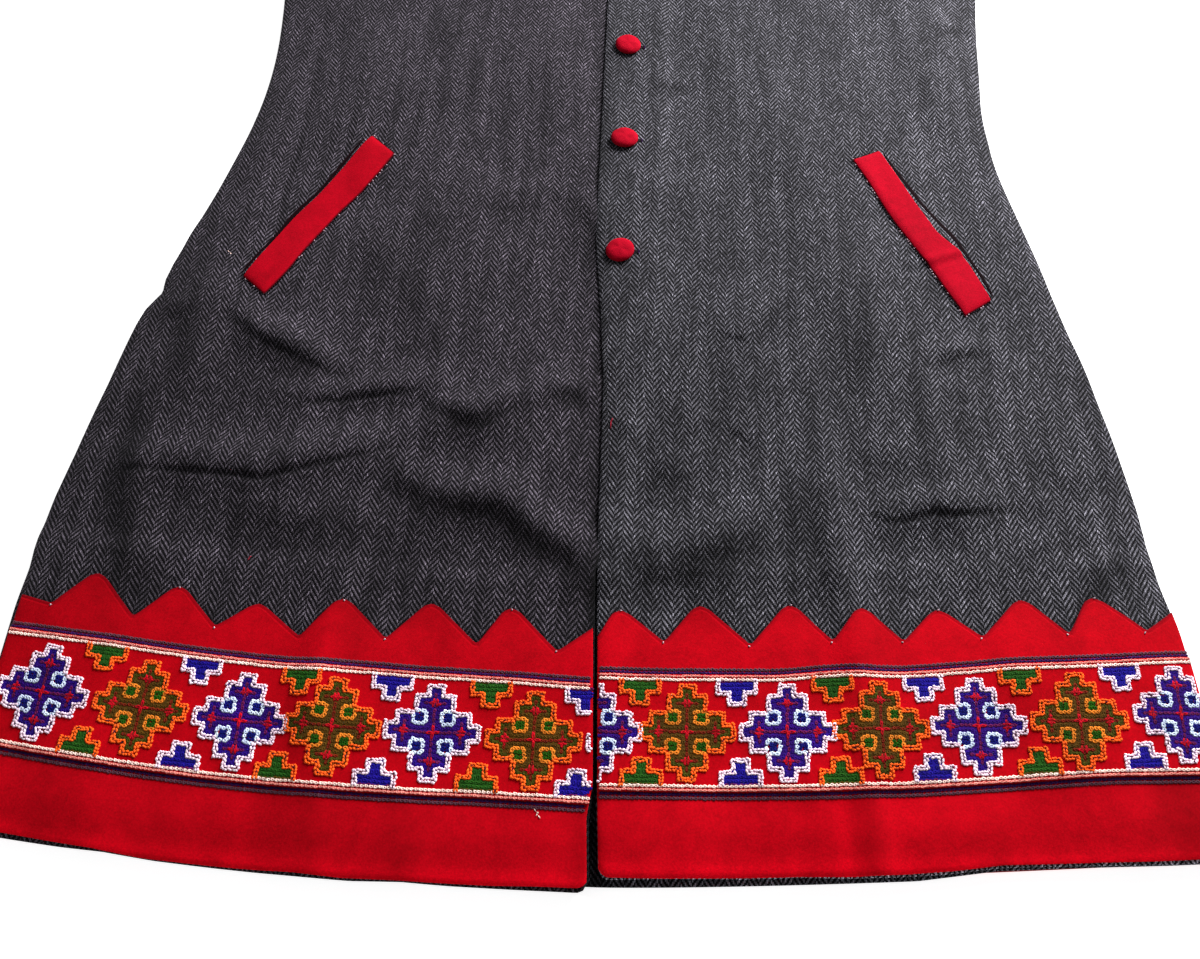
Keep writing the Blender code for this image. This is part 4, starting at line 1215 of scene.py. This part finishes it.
# rows beside each border, counted outwards: distance, width, height and yarn
borderPitch = 0.002
borderRows = [(0.0, 0.0021, 0.0014, "cream"), (0.0017, 0.0016, 0.0011, "salmon")]
braidRows = [(0.0034, 0.002, 0.0017, "plaitDark"), (0.0051, 0.0023, 0.0014, "plaitGrey")]
# how unevenly the stitches lie, and the motifs' grounds: cells each way and their reach in chart steps
uneven = {"turn": 0.07, "size": 0.05, "shade": 0.1}
grounds = {"cross": (24, 48.0), "half": (12, 26.0), "inside": 0.0016, "up": 0.0002}
dice = np.random.default_rng(7)


def takeTemplate(shape):
    points = np.array([corner.co[:] for corner in shape.verts])
    faces = np.array([[corner.index for corner in face.verts] for face in shape.faces])
    shape.free()
    return points, faces


def linkTemplate():
    # a ring of yarn drawn out along its row and pinched where the last loop holds it
    shape = bmesh.new()
    bmesh.ops.create_circle(shape, cap_ends=False, segments=link["sides"], radius=link["yarn"])
    bmesh.ops.rotate(shape, verts=shape.verts, cent=(0, 0, 0), matrix=Matrix.Rotation(math.pi / 2.0, 3, "X"))
    bmesh.ops.translate(shape, verts=shape.verts, vec=(link["loop"], 0, 0))
    spinRound(shape, link["turns"], 0.0001)
    for corner in shape.verts:
        lead = 0.5 + corner.co.y
        corner.co.x *= link["pinch"] + (1.0 - link["pinch"]) * min(max(lead * 1.1, 0.0), 1.0)
        corner.co.y *= link["drawn"]
        sunk = link["yarn"] * link["flat"] * 0.9
        corner.co.z = corner.co.z * link["flat"] + sunk + 0.1 * (corner.co.y + 0.5)
    return takeTemplate(shape)


def dashTemplate():
    # a short length of yarn, rounded at its ends
    shape = bmesh.new()
    bmesh.ops.create_icosphere(shape, subdivisions=1, radius=0.5)
    bmesh.ops.translate(shape, verts=shape.verts, vec=(0, 0, 0.32))
    return takeTemplate(shape)


def patchTemplate():
    # the little that shows of a stitch pressed flat on the underside
    shape = bmesh.new()
    bmesh.ops.create_circle(shape, cap_ends=True, segments=6, radius=0.55)
    bmesh.ops.poke(shape, faces=shape.faces[:], offset=1.0)
    bmesh.ops.recalc_face_normals(shape, faces=shape.faces)
    return takeTemplate(shape)


templates = {"link": linkTemplate(), "dash": dashTemplate(), "patch": patchTemplate()}


def stitchPath(points, size, color, overlap=1.0, slant=0.0):
    # rows of (x, y, angle, length, width, height, color) for stitches set evenly along a path
    rows = []
    pitch, width, tall = size
    for (x0, y0), (x1, y1) in zip(points, points[1:]):
        run = math.hypot(x1 - x0, y1 - y0)
        if run < 1e-6:
            continue
        count = max(round(run / pitch), 1)
        angle = math.atan2(y1 - y0, x1 - x0) + slant
        for share in ((k + 0.5) / count for k in range(count)):
            place = (x0 + share * (x1 - x0), y0 + share * (y1 - y0))
            rows.append((*place, angle, overlap * run / count, width, tall, *yarns[color]))
    return rows


def turned(rows, angle):
    c, s = math.cos(angle), math.sin(angle)
    return [(x * c - y * s, x * s + y * c, turn + angle, *rest) for x, y, turn, *rest in rows]


def fourTimes(rows):
    return [row for k in range(4) for row in turned(rows, k * math.pi / 2.0)]


def moved(rows, x, y):
    return [(row[0] + x, row[1] + y, *row[2:]) for row in rows]


def besidePath(points, away):
    # the same path, set off to its right by a little
    sides = []
    for a, b in zip(points, points[1:]):
        run = math.dist(a, b)
        sides.append(((b[1] - a[1]) / run, (a[0] - b[0]) / run))
    result = [(points[0][0] + away * sides[0][0], points[0][1] + away * sides[0][1])]
    for point, before, after in zip(points[1:], sides, sides[1:]):
        result.append((point[0] + away * (before[0] + after[0]), point[1] + away * (before[1] + after[1])))
    return result + [(points[-1][0] + away * sides[-1][0], points[-1][1] + away * sides[-1][1])]


def twinRows(points, color):
    # two thin rows side by side, with now and then painted shade in the furrow between them, as a dark
    # stitch
    rows = []
    for way in (1.0, -1.0):
        path = besidePath(points, way * twin["apart"])
        rows += stitchPath(path, sizes["twin"], color, twin["overlap"], way * twin["slant"])
    furrow = stitchPath(points, sizes["furrow"], "shadow", 0.75)
    return rows + [row for k, row in enumerate(furrow) if k % 7 in (1, 4)]


def inChart(points, way=1.0):
    return [(x * unit, way * y * unit) for x, y in points]


def bar(x, y, halfWide, halfHigh):
    return [(x - halfWide, y - halfHigh), (x + halfWide, y + halfHigh)]


def crossStitches(kind):
    # the loops and the outline rows of one cross
    pale, ring, body, bodyTip, middle, dot = crossYarns[kind]
    outline, inner = inChart(chart["outline"]), inChart(chart["body"])
    edges = twinRows(outline[:5], pale) + twinRows(outline[8:], pale)
    quarter = stitchPath(outline[4:9], sizes["ring"], ring)
    for k in range(12):
        quarter += stitchPath(inner[k:k + 2], sizes["body"], body if 4 <= k < 8 else bodyTip)
    for line in (chart["spine"], chart["head"]):
        quarter += stitchPath(inChart(line), sizes["middle"], middle)
    heart = chart["head"][0][1] * unit
    for x in (0.0008, -0.0008):
        quarter += stitchPath(bar(x, heart, 0.0, 0.0019), sizes["barUp"], "red")
    quarter += stitchPath(bar(0.0, heart, 0.0027, 0.0), sizes["barAcross"], "red")
    x, y = chart["dot"][0] * unit, chart["dot"][1] * unit
    for shift in (-0.0012, 0.0, 0.0012):
        quarter += stitchPath(bar(x + shift, y, 0.0, 0.0021), sizes["dot"], dot)
    loops = fourTimes(quarter)
    for wide, high in ((0.0032, 0.0), (0.0, 0.0032)):
        loops += stitchPath(bar(0.0, 0.0, wide, high), sizes["star"], "red")
    return loops, fourTimes(edges)


def halfStitches(kind, way):
    pale, inner, edge = halfYarns[kind]
    loops = []
    for k, line in enumerate(chart["halfRows"]):
        loops += stitchPath(inChart(line, way), sizes["half"], inner if k else edge)
    return loops, twinRows(inChart(chart["half"], way), pale)


def joinStitches(name, template, rows, lay, up, wobble, slot="embroidery"):
    # lays every stitch on its cloth and joins them into one piece
    data = np.array(rows)
    count = len(data)
    data[:, 0:2] += dice.normal(0.0, wobble, (count, 2))
    data[:, 2] += dice.normal(0.0, uneven["turn"], count)
    points, faces = templates[template]
    along, wide = (data[:, k:k + 1] * (1.0 + dice.normal(0.0, uneven["size"], (count, 1))) for k in (3, 4))
    localX, localY = points[None, :, 0] * wide, points[None, :, 1] * along
    c, s = np.cos(data[:, 2:3]), np.sin(data[:, 2:3])
    x = data[:, 0:1] + localY * c - localX * s
    height = data[:, 1:2] + localY * s + localX * c
    laid = lay(x.ravel(), height.ravel(), (up + points[None, :, 2] * data[:, 5:6]).ravel())
    corners = (faces[None, :, :] + len(points) * np.arange(count)[:, None, None]).reshape(-1, faces.shape[1])
    mesh = bpy.data.meshes.new(name)
    mesh.from_pydata(laid.tolist(), [], corners.tolist())
    shades = data[:, 6:9] * (1.0 + dice.normal(0.0, uneven["shade"], (count, 1)))
    shades = np.concatenate([np.clip(shades, 0.0, 1.0), np.ones((count, 1))], axis=1)
    shades = np.repeat(shades, len(points), axis=0)
    mesh.color_attributes.new("yarn", "FLOAT_COLOR", "POINT").data.foreach_set("color", shades.ravel())
    mesh.shade_smooth()
    piece = addPiece(name, mesh, "yarn")
    return piece


def withinBand(side, out, height, inside):
    # True where a place on a front is that far within the edges of its band
    near, far = band["insets"][side]
    low = frontEdge(side, height) + near + inside
    return (out > low) & (out < halfWidth(side, "front", height) - far - inside)


def withinCloth(side, rows):
    # leaves out the stitches past the edges of a front's strip
    data = np.array(rows)
    return data[withinBand(side, signs[side] * data[:, 0], data[:, 1], 0.0007)]


def insideChart(x, y, form):
    # True where a point, in chart steps, lies within the outline of a motif
    path = chart["half"]
    if form == "cross":
        x, y = np.abs(x), np.abs(y)
        path = [(0, 0), *chart["outline"]]
    inside = np.zeros_like(x, dtype=bool)
    for (x0, y0), (x1, y1) in zip(path, [*path[1:], path[0]]):
        if y0 != y1:
            inside ^= ((y0 > y) != (y1 > y)) & (x < (x1 - x0) * (y - y0) / (y1 - y0) + x0)
    return inside


def makeGrounds(side):
    # the couched ground of each motif, cell by cell, under its rows of stitches
    name = "grounds" + side.capitalize()
    shape = bmesh.new()
    motifs = [(x, height, "cross", crossYarns[kind][2], 1.0) for x, kind, height, lean in crosses[side]]
    for level, way in levels:
        motifs += [(x, borderHeight(side, level, x), "half", halfYarns[kind][1], way)
                   for x, kind in halves[side][level]]
    paint = shape.verts.layers.float_color.new("yarn")
    for x, y, form, color, way in motifs:
        count, reach = grounds[form]
        made = bmesh.ops.create_grid(shape, x_segments=count, y_segments=count, size=reach)["verts"]
        faces = {face for corner in made for face in corner.link_faces}
        middles = np.array([face.calc_center_median()[:2] for face in faces])
        where = signs[side] * (x + middles[:, 0] * unit)
        height = y + way * middles[:, 1] * unit
        keep = withinBand(side, where, height, grounds["inside"])
        keep &= insideChart(middles[:, 0], middles[:, 1], form)
        keep &= height > borderHeight(side, "bottom", signs[side] * where)
        keep &= height < borderHeight(side, "top", signs[side] * where)
        outside = [face for face, stays in zip(faces, keep) if not stays]
        bmesh.ops.delete(shape, geom=outside, context="FACES")
        for corner in (corner for corner in made if corner.is_valid):
            corner.co = (x + corner.co.x * unit, y + way * corner.co.y * unit, 0.0)
            corner[paint] = (*yarns[color], 1.0)
    bmesh.ops.recalc_face_normals(shape, faces=shape.faces)
    for corner in shape.verts:
        where = np.array([signs[side] * corner.co.x])
        corner.co = onFront(side, where, np.array([corner.co.y]), stripUp + grounds["up"])[0]
    piece = addPiece(name, takeMesh(name, shape), "yarn")
    return piece


def makeEmbroidery(side):
    def lay(x, height, up):
        return onFront(side, signs[side] * x, height, up)

    def borderRow(level, way, away, width, tall, color):
        # a row beside a border's pale one, counted outwards
        x = np.arange(-0.01, 0.3, 0.004) * signs[side]
        line = list(zip(x, borderHeight(side, level, x) - way * away))
        return stitchPath(line, (borderPitch, width, tall), color)

    def join(name, *rest):
        return joinStitches(name + side.capitalize(), *rest)

    loops, edges, pale, braids = [], [], [], []
    for x, kind, height, lean in crosses[side]:
        for rows, made in zip((loops, edges), crossStitches(kind)):
            rows += moved(turned(made, math.radians(-lean)), x, height)
    for level, way in levels:
        for x, kind in halves[side][level]:
            for rows, made in zip((loops, edges), halfStitches(kind, way)):
                rows += moved(made, x, borderHeight(side, level, x) - way * 0.0002)
        for row in borderRows:
            pale += borderRow(level, way, *row)
        for row in braidRows:
            braids += borderRow(level, way, *row)
    loops, edges, pale, braids = (withinCloth(side, rows) for rows in (loops, edges, pale, braids))
    pieces = [makeGrounds(side), join("crosses", "link", loops, lay, stripUp, 0.00016)]
    pieces.append(join("outlines", "dash", edges, lay, stripUp, 0.00017))
    pieces.append(join("borders", "link", pale, lay, stripUp, 0.00008))
    braid = join("braid", "link", braids, lay, bandUp, 0.00006, "braid")
    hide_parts("braid_lower_" + side, "braid_upper_" + side)
    return pieces, braid


backRows = {
    "first": -0.2665, "pitch": 0.0444, "count": 13, "middle": 0.065, "top": 0.0897, "bottom": 0.041,
    "rowPitch": 0.0021, "stripFace": 0.00052, "bandFace": 0.00145, "least": 0.00004, "thin": 0.22,
    "braidThin": 0.6, "inside": 0.003,
}


def makeBackEmbroidery():
    # the same rows run on round the back, pressed flat where it lies
    def join(name, made, face, thin, slot="embroidery"):
        def lay(x, height, up):
            share = np.clip(x / backHalf(x, height), -0.996, 0.996)
            return onBack(share, height, np.maximum(face - up, backRows["least"]))

        data = np.array(made)
        data = data[np.abs(data[:, 0]) < backHalf(data[:, 0], data[:, 1]) - backRows["inside"]]
        data[:, 5] *= thin
        return joinStitches(name, "patch", data, lay, backRows["least"], 0.00012, slot)

    rows, braids = [], []
    for k in range(backRows["count"]):
        x = backRows["first"] + k * backRows["pitch"]
        loops, edges = crossStitches(("white", "orange")[k % 2])
        rows += moved(loops + edges, x, backRows["middle"])
        for level, way in levels:
            loops, edges = halfStitches(("green", "blue")[k % 2], way)
            rows += moved(loops + edges, x + 0.5 * backRows["pitch"], backRows[level])
    line = np.arange(-0.286, 0.286, 0.004)
    for level, way in levels:
        for made, kinds in ((rows, borderRows), (braids, braidRows)):
            for away, width, tall, color in kinds:
                path = [(x, backRows[level] - way * away) for x in line]
                made += stitchPath(path, (backRows["rowPitch"], width, tall), color)
    flat = join("rowsBack", rows, backRows["stripFace"], backRows["thin"])
    braid = join("braidBack", braids, backRows["bandFace"], backRows["braidThin"], "braid")
    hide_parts("braid_lower_back", "braid_upper_back")
    return flat, braid


sewn = {side: makeEmbroidery(side) for side in signs}
sewn["back"] = makeBackEmbroidery()
print("embroidery laid")


# Sewing thread round the welts, pricks at the points of the band, and a little lint on the cloth.
sewing = {
    "past": 0.0003, "overlap": 0.62, "worn": 0.22, "prick": (0.0012, 0.0009, 0.0007),
    # place, turn, length and yarn
    "lint": {
        "under": [(-0.0278, 0.0331, -0.8, 0.0018, "cream"), (-0.0266, 0.0321, -0.3, 0.0016, "cream"),
            (-0.0269, 0.0311, 1.1, 0.0014, "cream"), (-0.0258, 0.0303, -0.9, 0.0018, "cream"),
            (-0.1783, 0.1433, 1.2, 0.0022, "lint"), (-0.1779, 0.1446, 0.6, 0.0014, "lint"),
            (-0.2278, 0.3332, -0.7, 0.0017, "cream"), (-0.2264, 0.3318, -0.9, 0.0015, "cream")],
        "over": [(-0.0013, 0.2262, 1.5, 0.006, "lint"), (-0.0008, 0.229, 1.2, 0.003, "lint")],
    },
}


def makeSewing(side):
    def lay(x, y, up):
        return faceAt(side, x, y, up)

    rows = []
    seam = [acrossWelt(side, weltRun(side, share, 0.0), weltEdges(side, share)[1] - sewing["past"])
            for share in np.linspace(0.0, 1.0, 24)]
    ends = []
    for share in (0.0, 1.0):
        past = (2.0 * share - 1.0) * sewing["past"]
        fold, sewnEdge, slit = weltEdges(side, share)
        ends.append([acrossWelt(side, weltRun(side, share, reach) + past, edge)
                     for reach, edge in ((0.0, sewnEdge), (1.0, fold))])
    for path in (seam, *ends):
        path = [(float(x), float(y)) for x, y in path]
        rows += stitchPath(path, sizes["thread"], "thread", sewing["overlap"])
    # here and there the thread is worn pale
    stitches = [(*row[:6], *yarns["pale" if dice.random() < sewing["worn"] else "thread"]) for row in rows]
    name = side.capitalize()
    welts = joinStitches("weltSewing" + name, "dash", stitches, lay, 0.0001, 0.00014, "red_cloth")

    rows = []
    tips, valleys = band["tips"][side], band["valleys"][side]
    for where, high in [*tips, *valleys][::2] + valleys[::2]:
        out = where + float(frontEdge(side, band["middle"]))
        x, y = signs[side] * out, high - 0.0007 + 0.0004 * math.sin(90.0 * out)
        rows.append((x, y, 40.0 * out, *sewing["prick"], *yarns["pale"]))
    for x, y, angle, long, color in sewing["lint"][side]:
        rows.append((x, y, angle, long, 0.0006, 0.0006, *yarns[color]))

    def layOver(x, height, up):
        return onFront(side, signs[side] * x, height, up + bandUp * (height < 0.13))

    return welts, joinStitches("pricks" + name, "dash", rows, layOver, 0.0, 0.0, "red_cloth")


for side in signs:
    sewn["welt" + side], sewn["pricks" + side] = makeSewing(side)


def makeButtonholes():
    # a worked hole runs outwards from each shank, its end showing beside the button
    def lay(x, height, up):
        return onFront("over", x, height, up)

    rows = []
    end = button["holeEnd"]
    for middle in button["heights"]:
        for way in (-1.0, 1.0):
            line = [(-0.002, middle + way * 0.0009), (end, middle + way * 0.0007)]
            for row in stitchPath(line, sizes["hole"], "thread"):
                rows.append((*row[:2], row[2] + 1.2, 0.0017, *row[4:]))
        rows += stitchPath(bar(end, middle, 0.0, 0.0014), sizes["holeEnd"], "plaitDark")
    return joinStitches("buttonholes", "dash", rows, lay, 0.0, 0.00005, "tweed")


buttonholes = makeButtonholes()
print("sewing done")
# Floor, light and the camera.
stage = {
    "floor": (0.95, 0.95, 0.95, 1.0),
    "reach": 4.0,
    "below": 0.0002,        # the floor lies this far under the cloth
    "glow": 0.8,            # and is lit a little from below
    "room": 0.17,
    "lens": 30.0,
    "camera": (0.0069, -0.5091, 0.4697),
    "tilt": 26.136,
    "turn": 2.3,
}
# where each lamp stands, where it points, its size, power and color
lamps = {
    "key": ((0.74, 0.82, 0.66), (0.0, -0.15, 0.0), 0.75, 55.0, (1.0, 0.99, 0.985)),
    "fill": ((-1.4, -0.9, 1.6), (0.0, -0.1, 0.0), 2.0, 5.0, (0.97, 0.98, 1.0)),
}


def makeFloor():
    shape = bmesh.new()
    bmesh.ops.create_grid(shape, x_segments=1, y_segments=1, size=stage["reach"])
    mesh = takeMesh("floor", shape)
    material = bpy.data.materials.new("floor")
    material.use_nodes = True
    fill(material.node_tree, material.node_tree.nodes["Principled BSDF"], {
        "Base Color": stage["floor"], "Roughness": 0.9, "Specular IOR Level": 0.1,
        "Emission Color": (1.0, 1.0, 1.0, 1.0), "Emission Strength": stage["glow"],
    })
    mesh.materials.append(material)
    floor = addObject("floor", mesh)
    floor.location = (0.0, 0.0, -stage["below"])


def addLamp(name, place, aim, size, power, color):
    light = bpy.data.lights.new(name, "AREA")
    light.size = size
    light.energy = power
    light.color = color
    lamp = addObject(name, light)
    lamp.location = place
    lamp.rotation_euler = (Vector(aim) - Vector(place)).to_track_quat("-Z", "Y").to_euler()


makeFloor()
for name, values in lamps.items():
    addLamp(name, *values)
world = bpy.data.worlds.new("room")
world.use_nodes = True
air = world.node_tree.nodes["Background"]
fill(world.node_tree, air, {"Color": (1.0, 1.0, 1.0, 1.0), "Strength": stage["room"]})
scene = bpy.context.scene
scene.world = world
scene.view_settings.view_transform = "Standard"

lens = bpy.data.cameras.new("camera")
lens.lens = stage["lens"]
lens.sensor_width = 36.0
lens.clip_start = 0.01
scene.camera = addObject("camera", lens)
scene.camera.location = stage["camera"]
scene.camera.rotation_euler = (math.radians(stage["tilt"]), 0.0, math.radians(stage["turn"]))
print("stage set")

bpy.context.view_layer.update()
